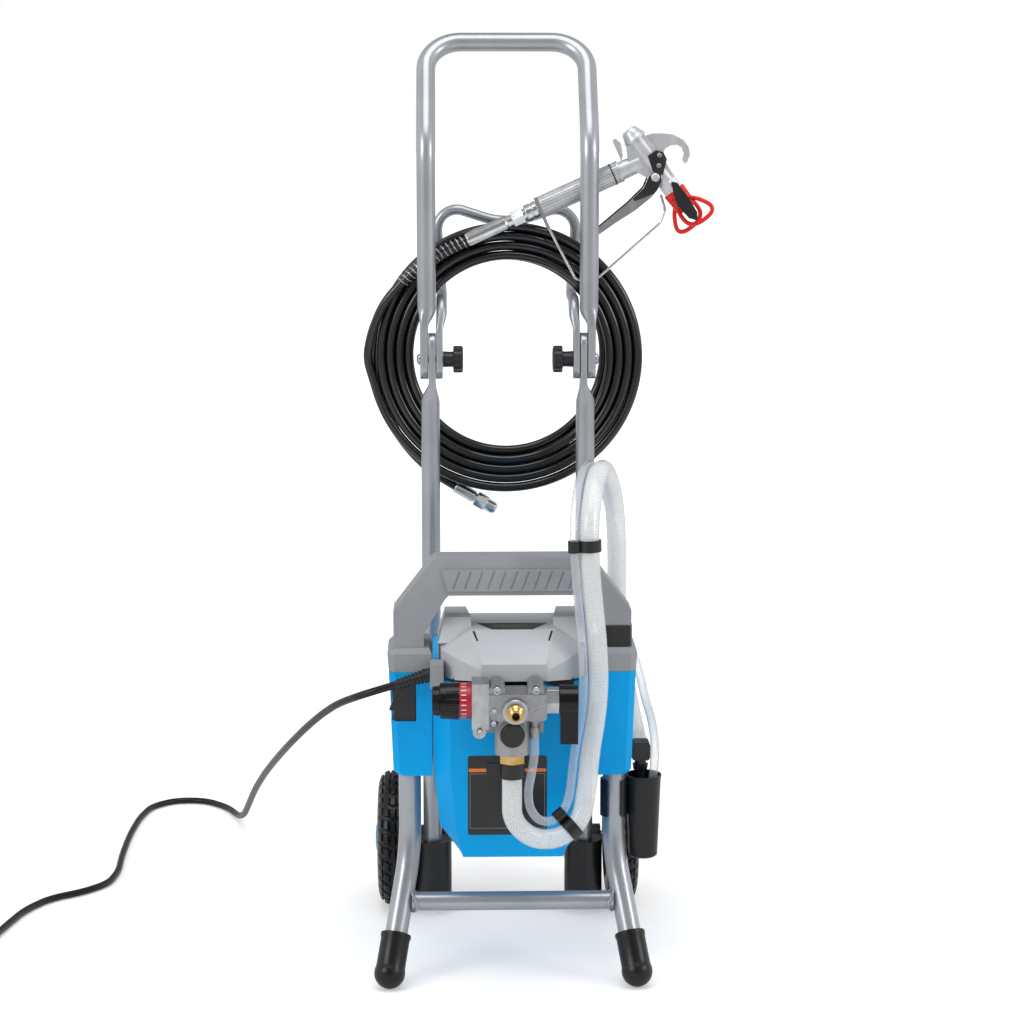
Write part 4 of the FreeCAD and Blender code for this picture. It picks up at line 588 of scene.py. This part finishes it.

# Axle and wheels: a plain steel rod, solid rubber tyres with a zigzag block tread,
# and moulded hubs with a ribbed web and a blue cap.

axle_end = 154.0
skin("axle_rod", turned((-axle_end, axle_y, wheel_r), (1, 0, 0),
                        [(0, 5.4), (1, 6.35), (2 * axle_end - 1, 6.35), (2 * axle_end, 5.4)]), zinc, "cart",
     covers=["axle"])
wheel_x, bead_seat_r, tread_blocks, tread_depth = 140.0, 52.0, 30, 2.9


def tyre(side):
    """Radius over width w and angle t: a round shoulder, with blocks where two slanted waves are both high."""
    name = side_name(side)
    w = np.concatenate([np.linspace(-1, 1, 61), np.linspace(0.98, -0.98, 6)])
    inner = np.arange(len(w)) >= 61
    t = full_turn(720)
    crown = np.where(inner, bead_seat_r, bead_seat_r + 30.5 * (1 - np.abs(w) ** 3.2) ** (1 / 2.4))
    half = np.where(inner, 17.0, 19.6)
    zigzag = np.abs(((t[:, None] * tread_blocks / (2 * math.pi) + 0.55 * np.abs(w)[None, :]) % 1.0) - 0.5) * 2
    rib = np.abs(((np.abs(w)[None, :] * 2.4) % 1.0) - 0.5) * 2
    block = smooth((zigzag - 0.22) / 0.16) * smooth((rib - 0.14) / 0.18)
    tread = tread_depth * (block - 1) * smooth((0.93 - np.abs(w)) / 0.14)[None, :] * (~inner)[None, :]
    radius = crown[None, :] + np.where(np.abs(w) < 0.93, tread, 0.0) - 0.2
    x = side * wheel_x + (w * half)[None, :] + 0 * t[:, None]
    grid = np.stack([x, axle_y + radius * np.cos(t)[:, None], wheel_r + radius * np.sin(t)[:, None]], axis=-1)
    skin(f"tyre_{name}_rubber", grid, rubber, f"wheel_{name}", loop=True, covers=[f"tyre_{name}"], limit=50.0)


both_sides(tyre)


def abs_plastic(low, high, roughness=0.30, spacing=1.4, height=0.012, specular=0.32):
    """Moulded ABS: even colour, a soft semi-gloss and a very fine tool texture."""
    def shader(material):
        return add(material, "BsdfPrincipled", {
            "Base Color": mottled(material, 90.0, low, high), "Roughness": roughness,
            "Specular IOR Level": specular, "Normal": grain(material, spacing, height)}).outputs[0]
    return shader


blue = finish("blue_moulded_abs", abs_plastic("#009ADE", "#00A2E6", 0.42, specular=0.14))


grey_dark = finish("dark_grey_moulded_nylon", abs_plastic("#2B2D30", "#34363A", 0.42))


def wheel_hub(side):
    """Rim band, dished web with ten ribs, and hub barrel on both faces."""
    name, centre, axis = side_name(side), np.array([side * wheel_x, axle_y, wheel_r]), (side, 0, 0)
    band = turned(centre, axis, [(-17, 46), (-17, 51.9), (17, 51.9), (17, 48.6), (16, 47.6), (6, 46.0), (4.5, 44),
                                 (4.5, 24), (-4.5, 24), (-4.5, 44), (-6, 46), (-17, 46)], 96)
    barrel = turned(centre, axis, [(-19, 6.5), (-19, 14.5), (-18, 16), (-5, 17), (-4.5, 26), (4.5, 26), (6, 18),
                                   (10, 17)], 64)
    parts = [band, barrel]
    for turn in full_turn(10):
        out = np.array([0.0, math.cos(turn), math.sin(turn)])
        spine = resample(np.array([centre + out * 15.0, centre + out * 47.0]), 8.0)
        parts.append(swept(spine, 11.5, 1.6, side=(1, 0, 0), sides=16, power=8.0))
    skin(f"hub_{name}_web", parts, grey_dark, f"wheel_{name}", covers=[f"wheel_hub_{name}"])
    cap = turned(centre, axis, [(10, 20), (10.4, 24.2), (11.6, 25.0), (15.6, 25.0), (17.2, 24.0), (20.2, 20.6),
                                (22.0, 14.0), (22.6, 9.0), (22.2, 7.5), (22.4, 0.5)], 64)
    skin(f"hub_{name}_cap", cap, blue, f"wheel_{name}")


both_sides(wheel_hub)

# Drive housing: a faceted shell of blue moulded ABS, closed behind by a vented
# cover, with a pod on each side that wraps the leg. Moulded edges are rounded.
eased("motor_housing", blue, "cart", 2.4, 20.0, 3)
eased("rear_cover", blue, "cart", 0.9)
for name in ("flank_right", "flank_left"):
    eased(name, blue, "cart", 2.0, 20.0, 3)


# Rating plate: a printed film stuck on under the pump, black with an orange band and a
# thin border; the wording is left off.

plate_x0, plate_x1, plate_z0, plate_z1 = -50.5, 37.5, 173.0, 264.0
plate_y, plate_corner = -55.05, 2.0


def where_all(material, tests):
    """1 where every (value, limit, comparison) holds, else 0: the product of the comparisons."""
    mask = 1.0
    for value, limit, comparison in tests:
        hit = add(material, "Math", {0: value, 1: limit}, operation=comparison).outputs[0]
        mask = add(material, "Math", {0: mask, 1: hit}, operation="MULTIPLY").outputs[0]
    return mask


def printed_film(material):
    """Black gloss film: from the object's height and width, an orange band and a pale hairline frame."""
    parts = add(material, "SeparateXYZ", {"Vector": add(material, "TexCoord").outputs["Object"]})
    (x0, z0), (x1, z1) = at([(plate_x0, 0, plate_z0), (plate_x1, 0, plate_z1)])[:, [0, 2]].tolist()
    masks = []
    for inset, low, high in ((0.001, z1 - 0.0185, z1 - 0.0145), (0.0022, z0 + 0.0075, z1 - 0.0205),
                             (0.0026, z0 + 0.0079, z1 - 0.0209)):
        masks.append(where_all(material, (
            (parts.outputs["X"], x0 + inset, "GREATER_THAN"), (parts.outputs["X"], x1 - inset, "LESS_THAN"),
            (parts.outputs["Z"], low, "GREATER_THAN"), (parts.outputs["Z"], high, "LESS_THAN"))))
    band, frame_out, frame_in = masks
    line = add(material, "Math", {0: frame_out, 1: frame_in}, operation="SUBTRACT").outputs[0]
    banded = add(material, "Mix", {"Factor": band, "A": linear("#141416"), "B": linear("#E0702E")},
                 data_type="RGBA")
    lined = add(material, "Mix", {"Factor": line, "A": banded.outputs["Result"], "B": linear("#8C8E90")},
                data_type="RGBA")
    return add(material, "BsdfPrincipled", {"Base Color": lined.outputs["Result"],
                                            "Roughness": 0.28}).outputs[0]


film = finish("printed_film", printed_film)
plate_half_w, plate_half_h = (plate_x1 - plate_x0) / 2, (plate_z1 - plate_z0) / 2
x, z = superellipse(full_turn(72) + math.pi / 72, 2.0 * min(plate_half_w, plate_half_h) / plate_corner)
plate_rings = [np.stack([(plate_x0 + plate_x1) / 2 + x * (plate_half_w - inset), np.full(72, plate_y - lift),
                         (plate_z0 + plate_z1) / 2 + z * (plate_half_h - inset)], axis=1)
               for inset, lift in ((0.0, 0.0), (0.0, 0.275), (0.2, 0.5), (1.2, 0.5))]
skin("rating_plate", np.array(plate_rings), film, "cart")

# Switch block and rocker in black nylon, the carry bow with its caps over both pods in
# grey nylon, a black collar where the bow meets the right leg, and the light grey hood.
grey_mid = finish("mid_grey_moulded_nylon", abs_plastic("#8B8E92", "#94979B", 0.42, 1.1, 0.02))
grey_light = finish("light_grey_moulded_abs", abs_plastic("#B4B7BB", "#BCBFC3", 0.36, 1.2, 0.014))
gloss_black = finish("gloss_black_nylon", abs_plastic("#08080A", "#0C0C0E", 0.2, 2.0, 0.004))
eased("switch_panel", black, "cart", 0.8)
eased("power_switch", black, "rocker", 0.5)
eased("carry_handle", grey_mid, "cart", 2.6, 24.0, 3,
      fine=lambda middle: middle[1] < -21.5 and abs(middle[0]) < 82 and 442 < middle[2] < 472)
collar_path = np.array([(116.0, 0, z) for z in (380.3, 380.8, 404.0, 405.2)])
skin("column_collar", swept(collar_path, np.array([17.2, 18.4, 18.2, 17.2]), np.array([22.2, 23.4, 23.2, 22.2]),
                            sides=72, power=9.0), black, "cart")
eased("hood", grey_light, "cart", 1.6, 12.0, 3)


def tile(name, outline, out, depth, material):
    """A flat convex piece on a surface: its outline raised by depth along out, with a slightly smaller top."""
    outline = np.asarray(outline, float)
    middle = outline.mean(axis=0)
    out = unit(out) * depth
    rings = [outline, outline + out * 0.7, middle + (outline - middle) * 0.985 + out]
    return skin(name, np.array(rings), material, "cart")


# On the hood: a bare black badge, a black tile of painted shade for the dark opening of
# the drain slot at each of its front corners, and a black tile of painted shade where the
# gap under each side of the nose lies in shadow.


def hood_top(y):
    """Height of the hood over y: straight between the bends of its top."""
    return np.interp(y, [-95.0, -62.0, -30.0, 62.0], [377.0, 391.0, 402.0, 402.0])


badge = [(-39, 3, 402.0), (-22.5, -29.5, 402.0), (22.5, -29.5, 402.0), (39, 3, 402.0)]
tile("hood_badge", badge, (0, 0, 1), 0.7, gloss_black)
for side in (1, -1):
    name = side_name(side)
    # Painted shade: a black tile for the dark opening of the drain slot.
    slot_shade_outline = [(side * x, y, hood_top(y) - 0.1)
                 for x, y in ((44.8, -33.0), (42.6, -33.0), (38.6, -53.0), (40.4, -53.0))]
    # Painted shade: a black tile where the gap under the nose lies in shadow.
    nose_shade_outline = [(side * x, -55.0, z) for x, z in ((67, 353), (67, 343.5), (45, 343.2), (37, 346.0))]
    tile(f"hood_slot_painted_shade_{name}", slot_shade_outline, (0, -0.25, 1), 0.5, black)
    tile(f"nose_painted_shade_{name}", nose_shade_outline, (0, -1, 0), 1.0, black)

# Pump: sand-cast aluminium body with machined faces, brass outlet with its thread,
# an inlet housing with a push button, and the pressure control on the left.


def cast_metal(material):
    """Shot-blasted casting: dull aluminium with pits and darker specks under a millimetre wide."""
    return add(material, "BsdfPrincipled", {
        "Base Color": mottled(material, 1 / 2.2, "#5E5F61", "#BDBEC0", 4.0, 0.7, (0.36, 0.60)), "Metallic": 0.85,
        "Roughness": 0.46, "Normal": grain(material, 0.5, 0.05, 4.0)}).outputs[0]


def turned_metal(low, high, roughness=0.24, metallic=1.0):
    """Machined or polished metal: a slightly clouded colour and the faintest waviness."""
    def shader(material):
        return add(material, "BsdfPrincipled", {
            "Base Color": mottled(material, 14.0, low, high), "Metallic": metallic, "Roughness": roughness,
            "Normal": grain(material, 1.4, 0.002)}).outputs[0]
    return shader


cast = finish("shot_blasted_casting", cast_metal)
machined = finish("machined_aluminium", turned_metal("#A9ABAD", "#BFC1C3", 0.30))
brass = finish("turned_brass", turned_metal("#B59355", "#CDAE72", 0.22))
chrome = finish("chrome_plate", turned_metal("#C9CBCE", "#DDDFE1", 0.10))
gear_steel = finish("ground_gear_steel", turned_metal("#77797C", "#8C8E91", 0.28))
eased("gearbox", cast, "cart", 1.0)
eased("pump_block", cast, "cart", 1.6, 30.0, 3)
eased("inlet_housing", cast, "cart", 0.8)
eased("pressure_sensor", machined, "cart", 1.0)
eased("prime_valve", machined, "cart", 0.5)
eased("prime_button", black, "inlet_button", 0.8)
eased("hose_clamp", black, "cart", 0.5)
eased("pressure_knob", gloss_black, "pressure_dial", 0.7)
eased("prime_lever", gloss_black, "drain_lever", 1.6, 30.0, 3)
for name, body in (("motor", "cart"), ("motor_rotor", "rotor"), ("drive_gear", "gear"),
                   ("pump_piston", "piston")):
    eased(name, gear_steel, body, 0.2)

# Outlet: a machined ring round the boss and a brass nipple with eight turns of thread,
# screwed into the pump block; its bore ends in shadow.
outlet_z = 337.5
outlet_ring = [(0, 13.7), (7.4, 13.7), (8.2, 13.0), (8.4, 9.7), (6.0, 9.5)]
nipple = [(-4.8, 9.6), (0.0, 9.6), (0.0, 9.0)]
for k in range(8):
    nipple += [(2.2 + 1.2 * k, 6.75), (2.8 + 1.2 * k, 6.1)]
nipple += [(11.8, 6.75), (12.5, 6.0), (12.9, 5.2), (12.7, 4.2), (3.0, 4.0), (2.8, 0.4)]
skin("outlet_boss_ring", turned((0, -145.2, outlet_z), (0, -1, 0), outlet_ring, 72), machined, "cart", limit=25.0)
skin("outlet_bore_shadow", turned((0, -158.0, outlet_z), (0, -1, 0), [(3.2, 3.98), (3.4, 0.3)]), black, "cart")
skin("outlet_nose", turned((0, -158.0, outlet_z), (0, -1, 0), nipple), brass, "cart", covers=["outlet_fitting"],
     limit=20.0)

# Pressure dial: a moulded crimson ring with a printed scale, clamped between the pump
# block and the black knob on its left.


def dial_ring(material):
    """Crimson ring with short white strokes, placed by angle about the dial's axis."""
    where = add(material, "TexCoord")
    parts = add(material, "SeparateXYZ", {"Vector": where.outputs["Object"]})
    centre = at((0, -124.0, 344.0)).tolist()
    y, z = (add(material, "Math", {0: parts.outputs[k], 1: centre[k]}, operation="SUBTRACT").outputs[0]
            for k in (1, 2))
    angle = add(material, "Math", {0: z, 1: y}, operation="ARCTAN2").outputs[0]
    turn = add(material, "Math", {0: angle, 1: 22.0 / (2 * math.pi)}, operation="MULTIPLY").outputs[0]
    stroke = add(material, "Math", {0: turn}, operation="FRACT").outputs[0]
    x_low, x_high = at([(-58.0, 0, 0), (-52.5, 0, 0)])[:, 0].tolist()
    mark = where_all(material, ((parts.outputs["X"], x_low, "GREATER_THAN"),
                                (parts.outputs["X"], x_high, "LESS_THAN"), (stroke, 0.16, "LESS_THAN")))
    colour = add(material, "Mix", {"Factor": mark, "A": linear("#A3162A"), "B": linear("#F0E8E8")},
                 data_type="RGBA")
    return add(material, "BsdfPrincipled", {"Base Color": colour.outputs["Result"],
                                            "Roughness": 0.3}).outputs[0]


eased("scale_ring", finish("crimson_dial_ring", dial_ring), "cart", 0.6)

# Socket-head screws: zinc-plated, cold-headed with a hexagon recess; two large ones in
# the top of the block and three small ones round its left flange and ear.


def screw_head(base, axis, radius, height):
    """Cylinder head, eased at the rim, with a hexagon socket sunk by half its height."""
    angle = full_turn(48)
    hexagon = math.cos(math.pi / 6) / np.cos((angle % (math.pi / 3)) - math.pi / 6)
    outer = turned(base, axis, [(0, radius), (height * 0.85, radius), (height, radius * 0.88),
                                (height, radius * 0.58)])
    socket = turned(base, axis, [(height, radius * 0.56), (height * 0.45, radius * 0.54), (height * 0.4, 0.05)],
                    48, hexagon)
    return np.concatenate([outer, socket])


screws = [screw_head((x, -146.2, 360.5), (0, -1, 0), 4.3, 4.2) for x in (-19.5, 22.5)]
screws += [screw_head((x, -145.4, z), (0, -1, 0), 2.8, 2.2)
           for x, z in ((-22.5, 337.0), (-23.0, 323.5), (-38.0, 314.5))]
skin("pump_screws", screws, zinc, "cart")


def repaint(piece, material, inside):
    """A second material for the faces whose centres, in cart millimetres, pass the test."""
    centres = np.empty(len(piece.data.polygons) * 3)
    piece.data.polygons.foreach_get("center", centres)
    chosen = inside(centres.reshape(-1, 3) * 1000.0 - cart_origin)
    index = np.where(chosen, len(piece.data.materials), 0).astype(np.int32)
    piece.data.materials.append(material)
    piece.data.polygons.foreach_set("material_index", index)


brass_below_z = 285.6
repaint(bpy.data.objects["inlet_housing_skin"], brass, lambda c: c[:, 2] < brass_below_z)

# Suction hose and prime tube: clear PVC, the larger one with a white polyester
# braid in its wall; both loop over the carry handle and come down to the cup.


def route(points, step=3.0):
    """A cord's centreline: each corner an arc of radius 0.45 of its shorter run over tan(half the turn)."""
    points = np.asarray(points, float)
    runs = np.diff(points, axis=0)
    lengths = np.linalg.norm(runs, axis=1)
    ways = runs / lengths[:, None]
    half = np.arccos(np.clip((ways[:-1] * ways[1:]).sum(axis=1), -1, 1)) / 2
    return bent(points, 0.45 * np.minimum(lengths[:-1], lengths[1:]) / np.tan(half), step)


def clear_braid(material):
    """Threads where two slanted saw waves of the UV are narrow; the wall between them lets light through."""
    uv = add(material, "TexCoord").outputs["UV"]
    parts = add(material, "SeparateXYZ", {"Vector": uv})
    threads = []
    for sign in (1.0, -1.0):
        slant = add(material, "Math", {0: parts.outputs["Y"], 1: sign * 0.62, 2: parts.outputs["X"]},
                    operation="MULTIPLY_ADD").outputs[0]
        wave = add(material, "Math", {0: slant, 1: 1000.0 / 1.92}, operation="MULTIPLY").outputs[0]
        saw = add(material, "Math", {0: wave, 1: 0.5}, operation="PINGPONG").outputs[0]
        threads.append(add(material, "Math", {0: saw, 1: 0.15}, operation="LESS_THAN").outputs[0])
    braid = add(material, "Math", {0: threads[0], 1: threads[1]}, operation="MAXIMUM").outputs[0]
    edge = add(material, "LayerWeight", {"Blend": 0.35}).outputs["Facing"]
    wall = add(material, "MapRange", {"Value": edge, "To Min": 0.34, "To Max": 0.84}).outputs[0]
    alpha = add(material, "Mix", {"Factor": braid, "A": wall, "B": 0.88}, data_type="FLOAT").outputs[0]
    colour = add(material, "Mix", {"Factor": braid, "A": linear("#C9D0D3"), "B": linear("#F4F6F6")},
                 data_type="RGBA")
    return add(material, "BsdfPrincipled", {
        "Base Color": colour.outputs["Result"], "Roughness": 0.2, "Alpha": alpha, "IOR": 1.5,
        "Coat Weight": 0.6, "Coat Roughness": 0.06}).outputs[0]


def clear_tube(material):
    """Plain PVC tube: nearly clear in the middle, denser and bluish towards its edges."""
    edge = add(material, "LayerWeight", {"Blend": 0.4}).outputs["Facing"]
    alpha = add(material, "MapRange", {"Value": edge, "To Min": 0.22, "To Max": 0.9}).outputs[0]
    colour = add(material, "Mix", {"Factor": edge, "A": linear("#E4EBF0"), "B": linear("#93A3B3")},
                 data_type="RGBA")
    return add(material, "BsdfPrincipled", {
        "Base Color": colour.outputs["Result"], "Roughness": 0.12, "Alpha": alpha, "IOR": 1.5,
        "Coat Weight": 0.8, "Coat Roughness": 0.04}).outputs[0]


suction_points = [(-3, -124, 275.3), (-3, -124, 240), (-3, -122, 209), (19, -116, 186), (50, -108, 183.5),
                  (74, -101, 203.5), (80, -94, 238), (84, -84, 276), (91, -73, 312), (94.5, -65, 350),
                  (93, -60, 390), (89, -56, 432), (85, -55, 468), (83, -54, 528), (93, -10, 573),
                  (107, 54, 573), (121, 99, 528), (124.5, 102, 470), (125, 110, 412), (129, 122, 354),
                  (138, 128, 297), (147, 84, 252), (147, 24.5, 252)]
suction_d = 22.0
suction_path = route(suction_points)
suction = skin("suction_hose_wall", swept(suction_path, suction_d / 2, suction_d / 2, sides=40),
               finish("clear_braided_pvc", clear_braid), "cart", covers=["suction_hose"])
prime_points = [(21.5, -124, 302), (21.5, -124, 284), (18.5, -122, 263), (14.5, -119, 242), (16, -117, 222),
                (26, -113, 206), (42, -108, 203), (54, -103, 213), (61, -99, 230), (63.5, -94, 252),
                (67.5, -86, 282), (74.5, -80, 314), (77.5, -74, 350), (76, -67, 390), (72, -62, 432),
                (68, -60, 478), (66, -58, 528), (75.5, -12, 575.5), (91.5, 58.5, 579), (113, 115.5, 531.5),
                (123, 122, 478), (124, 128, 424), (131.5, 139, 372.5), (152, 130.5, 323.5), (158, 92, 292),
                (163, 54, 276), (164.5, 26, 257), (163, 10, 236), (159.5, 6, 206)]
prime_d = 10.0
prime_path = route(prime_points)
prime = skin("prime_tube_wall", swept(prime_path, prime_d / 2, prime_d / 2, sides=32),
             finish("clear_pvc", clear_tube), "cart", covers=["prime_tube"])

# Hose fittings: snap-on nylon clips round both hoses, the inlet strainer with its
# elbow, and a polypropylene drip cup held to the right leg by an open clip.
eased("hose_clips", black, "cart", 0.5)
eased("inlet_strainer", black, "cart", 0.6)
polypropylene = finish("satin_black_polypropylene", abs_plastic("#1B1B1E", "#222226", 0.3, 3.0, 0.006))
eased("drip_cup", polypropylene, "cart", 0.8)
eased("cup_clip", black, "cart", 0.8)

# Paint hose: black high-pressure hose, eight loops on the hanger, its whip end
# through a spring guard to the gun and its other end with a capped fitting.

gun_centre = np.array([174.0, 224.6, 893.0])
gun_tilt = math.radians(52.4)


def gun(points):
    """Gun frame to cart: x' = x·cos + z·sin, z' = z·cos - x·sin, added to the gun's centre."""
    x, y, z = np.asarray(points, float).T
    return gun_centre + np.stack([x * math.cos(gun_tilt) + z * math.sin(gun_tilt), y,
                                  z * math.cos(gun_tilt) - x * math.sin(gun_tilt)], axis=1)


grip_top, grip_base = gun([(-30.3, 0, -27.6), (-54.2, 0, -127.7)])
grip_axis = unit(grip_base - grip_top)
hose_d = 10.8
coil_z, coil_front_y, coil_pitch = 680.0, 239.0, 11.3
coil_inner_r, turns_in, turns_out = 117.0, 4.0, 3.639
coil_start_angle, coil_leave_swell = 195.0, 12.0
inward = 360.0 * turns_in
sweep = inward + 180.0 + 360.0 * turns_out


def coil(turned_by):
    """Spiral in on the front layer, cross behind in half a turn, spiral out, and swell at the end."""
    share = np.clip((turned_by - inward) / 180.0, 0, 1)
    radius = (coil_inner_r + coil_pitch * (turns_in - np.minimum(turned_by, inward) / 360.0)
              - 0.2 * coil_pitch * np.sin(math.pi * share)
              + coil_pitch * np.maximum(0, turned_by - inward - 180.0) / 360.0
              + coil_leave_swell * (np.clip(90.0 - (sweep - turned_by), 0, 90) / 90.0) ** 2)
    angle = np.radians(coil_start_angle + turned_by)
    return np.stack([radius * np.cos(angle), coil_front_y + coil_pitch * smooth(share),
                     coil_z + radius * np.sin(angle)], axis=1)


loops = coil(np.linspace(0.0, sweep, 2000))
first_way, last_way = unit(loops[1] - loops[0]), unit(loops[-1] - loops[-2])
whip_start = grip_base + grip_axis * 96.0
whip_end = loops[0] - first_way * hose_d
whip_points = [whip_start, whip_start + grip_axis * 36.0, (-119, 225, 776), (-148, 228, 744), (-163, 235, 706),
               whip_end - first_way * 30.0, whip_end]
whip_path = route(whip_points, 2.0)
hose_path = resample(np.concatenate([whip_path, loops, [loops[-1] + last_way * hose_d]]), 3.6)


def hose_jacket(material):
    """Black nylon jacket with a wet-looking gloss and a faint wind of the braid beneath."""
    return add(material, "BsdfPrincipled", {
        "Base Color": mottled(material, 40.0, "#08080A", "#0D0D0F"), "Roughness": 0.2, "Coat Weight": 0.3,
        "Coat Roughness": 0.1, "Normal": grain(material, 2.2, 0.01)}).outputs[0]


jacket = finish("black_hose_jacket", hose_jacket)
hose = skin("paint_hose", swept(hose_path, hose_d / 2, hose_d / 2, side=(0, 1, 0), sides=24), jacket, "cart",
            covers=["paint_hose_coil", "paint_hose_whip"])
spring_turns, spring_r, spring_wire_r, spring_start, spring_end = 15, 6.9, 1.2, 1.6, 93.6
spring_path = resample(whip_path, 0.5)
along = distances(spring_path)
across, up = carried(spring_path, (0, 1, 0))
wound = (along > spring_start) & (along < spring_end)
turn = 2 * math.pi * spring_turns * (along[wound] - spring_start) / (spring_end - spring_start)
wire = spring_path[wound] + spring_r * (np.cos(turn)[:, None] * across[wound] + np.sin(turn)[:, None] * up[wound])
wire = resample(wire, 0.9)
spring_steel = finish("bright_spring_wire", turned_metal("#9FA1A4", "#B4B6B9", 0.22))
skin("spring_guard_wire", swept(wire, spring_wire_r, spring_wire_r, side=(0, 0, 1), sides=10), spring_steel,
     "cart", covers=["spring_guard"])
eased("whip_fitting", chrome, "handle", 0.4)
eased("hose_end_fitting", chrome, "cart", 0.4)

# Gun: satin aluminium casting with a fluted grip, hung on the handle by its hook, a
# long trigger of chromed sheet with black cheeks at its pivot, and a bent wire guard.
gun_body = "handle"
barrel_z = 8.5
gun_along = (math.cos(gun_tilt), 0, -math.sin(gun_tilt))
gun_metal = finish("satin_aluminium", turned_metal("#BBBDC0", "#CACCCF", 0.34, 0.5))
eased("gun_body", gun_metal, gun_body, 1.3, 24.0, 3)
eased("gun_grip", gun_metal, gun_body, 0.3)
grip_ring = [(0, 12.4), (0.2, 13.5), (1.6, 13.5), (1.8, 12.4)]
skin("grip_dark_ring", turned(grip_top + grip_axis * 9.0, grip_axis, grip_ring), black, gun_body)
eased("trigger_guard", chrome, gun_body, 0.3)
eased("gun_trigger", chrome, "trigger", 0.3)
cheek = np.array([(-5.4, -5.6), (1.4, -18.0), (3.9, -36.5), (7.5, -36.0), (14.6, -12.0), (12.6, -6.0),
                  (7.6, 3.5), (2.0, 6.9), (-5.5, 4.5)])


def gun_plate(outline, low, high, out):
    """Plate on the gun's side: the outline at y = out·low and out·high, its last ring 0.96 of the size."""
    middle = outline.mean(axis=0)
    rings = ((low, 1.0), (high - 0.3, 1.0), (high, 0.96))
    return np.array([gun([(x, out * y, z) for x, z in middle + k * (outline - middle)]) for y, k in rings])


skin("trigger_cheeks", [gun_plate(cheek, 12.9, 13.8, out) for out in (-1, 1)], black, "trigger")

# Tip guard: red nylon collar, block and two closed loops beside the spray, moulded in one
# piece with rounded edges. Each loop is a 6 by 5 mm section along a superellipse (c, s) that
# widens from the collar by t = (1 + c)/2: x = 57.4 + 17.4·c, z = 8.5 - 9·t·side + (11 + 10·t)·s.
red = finish("red_moulded_nylon", abs_plastic("#D9201A", "#E2271F", 0.26, 1.6, 0.006))
c, s = superellipse(np.linspace(math.pi, 3 * math.pi, 97)[:-1], 2.5)
t = (1 + c) / 2
for out, name in ((-1, "front"), (1, "rear")):
    line = gun(np.stack([57.4 + 17.4 * c, out * (5.8 + 4.2 * t),
                         barrel_z - 9.0 * out * t + (11.0 + 10.0 * t) * s], axis=1))
    skin(f"tip_guard_loop_{name}", swept(line, 3.0, 2.6, (0.0, 1.0, 0.0), 24, 2.4), red, "guard", loop=True)
block = []
for x, a, b, n in ((33.2, 8.4, 12.4, 3.6), (34.4, 9.4, 13.4, 3.6), (50.6, 9.4, 12.8, 3.6),
                   (52.6, 8.6, 11.8, 3.4), (53.6, 7.0, 9.8, 3.0), (53.6, 5.2, 5.2, 2.0), (49.0, 4.8, 4.8, 2.0)):
    c, s = superellipse(full_turn(48), n)
    block.append(gun(np.stack([x + 0 * c, a * c, barrel_z + b * s], axis=1)))
knurl = 1.0 + 0.022 * np.cos(24 * full_turn(96))
collar = turned(gun([(26.2, 0, barrel_z)])[0], gun_along, [(0, 12.4), (0.9, 13.3), (7.0, 13.3), (7.8, 12.6)], 96,
                knurl)
skin("tip_guard_skin", [np.array(block), collar], red, "guard", covers=["tip_guard"])
eased("spray_tip", black, "tip", 0.5)

# Fittings on the gun's side: a black nylon plate over the needle's seal, held by two
# socket screws, and the domed zinc bolt that the trigger turns on.
side_plate = np.array([(-25.3, 8.0), (-24.6, 20.0), (-17.7, 25.4), (-8.6, 23.8), (3.0, 9.0), (1.0, 3.6),
                       (-8.0, 2.0), (-15.0, 4.6)])
skin("gun_side_plate", gun_plate(side_plate, 8.8, 13.2, -1), black, gun_body)
gun_screws = [screw_head(gun([(x, -13.0, z)])[0], (0, -1, 0), 2.6, 1.5)
              for x, z in ((-17.8, 19.4), (-8.6, 11.5))]
gun_screws.append(turned(gun([(0, -13.2, 0)])[0], (0, -1, 0), [(0, 4.6), (1.2, 4.6), (2.2, 3.6), (2.6, 1.5)]))
skin("gun_screws", gun_screws, zinc, gun_body)

# Power cord: black rubber flex from a ribbed relief, down to the floor and off to
# the left, where its plug lies outside the picture.

cord_d = 8.5
cord_z = cord_d / 2 + 0.3
relief_axis = unit((-1.0, 0.0, -0.30))
relief_base = np.array([-92.0, -46.0, 355.0])
relief_end = relief_base + relief_axis * 41.0
plug_r = 13.5
plug_end = np.array([-640.0, -42.0, plug_r + 0.3])
plug_axis = unit((-0.20, -0.98, 0.0))
cord_points = [relief_end, relief_end + relief_axis * 38.0, (-196, -6, 313), (-218, 42, 288),
               (-240, 95, 258), (-264, 165, 220), (-286, 245, 180), (-306, 325, 140), (-324, 405, 98),
               (-338, 480, 58), (-350, 545, 24), (-362, 600, 5.5), (-382, 648, cord_z), (-416, 682, cord_z),
               (-458, 684, cord_z), (-488, 654, cord_z), (-498, 600, cord_z), (-502, 520, cord_z),
               (-501, 430, cord_z), (-497, 356, cord_z), (-503, 306, cord_z), (-530, 272, cord_z),
               (-568, 246, cord_z), (-592, 200, cord_z), (-606, 135, cord_z), (-618, 65, 6.5),
               plug_end - plug_axis * 40.0, plug_end]
cord_path = route(cord_points)
flex = skin("power_cord_flex", swept(cord_path, cord_d / 2, cord_d / 2, side=(0, 1, 0), sides=24), rubber,
            "cart", covers=["power_cord"])
inlet = eased("cord_inlet", black, "cart", 1.2)
repaint(inlet, grey_mid, lambda c: c[:, 0] > -92.6)
relief_rings = [(3.0, 7.8)]
for k in range(8):
    start, r = 5.0 + 4.2 * k, 8.2 - 0.32 * k
    relief_rings += [(start, r - 1.2), (start + 0.4, r), (start + 2.4, r), (start + 2.8, r - 1.2)]
skin("relief_ribs", turned(relief_base, relief_axis, relief_rings + [(40.0, 5.0)], 40), black, "cart")
eased("power_plug", black, "cart", 0.6)
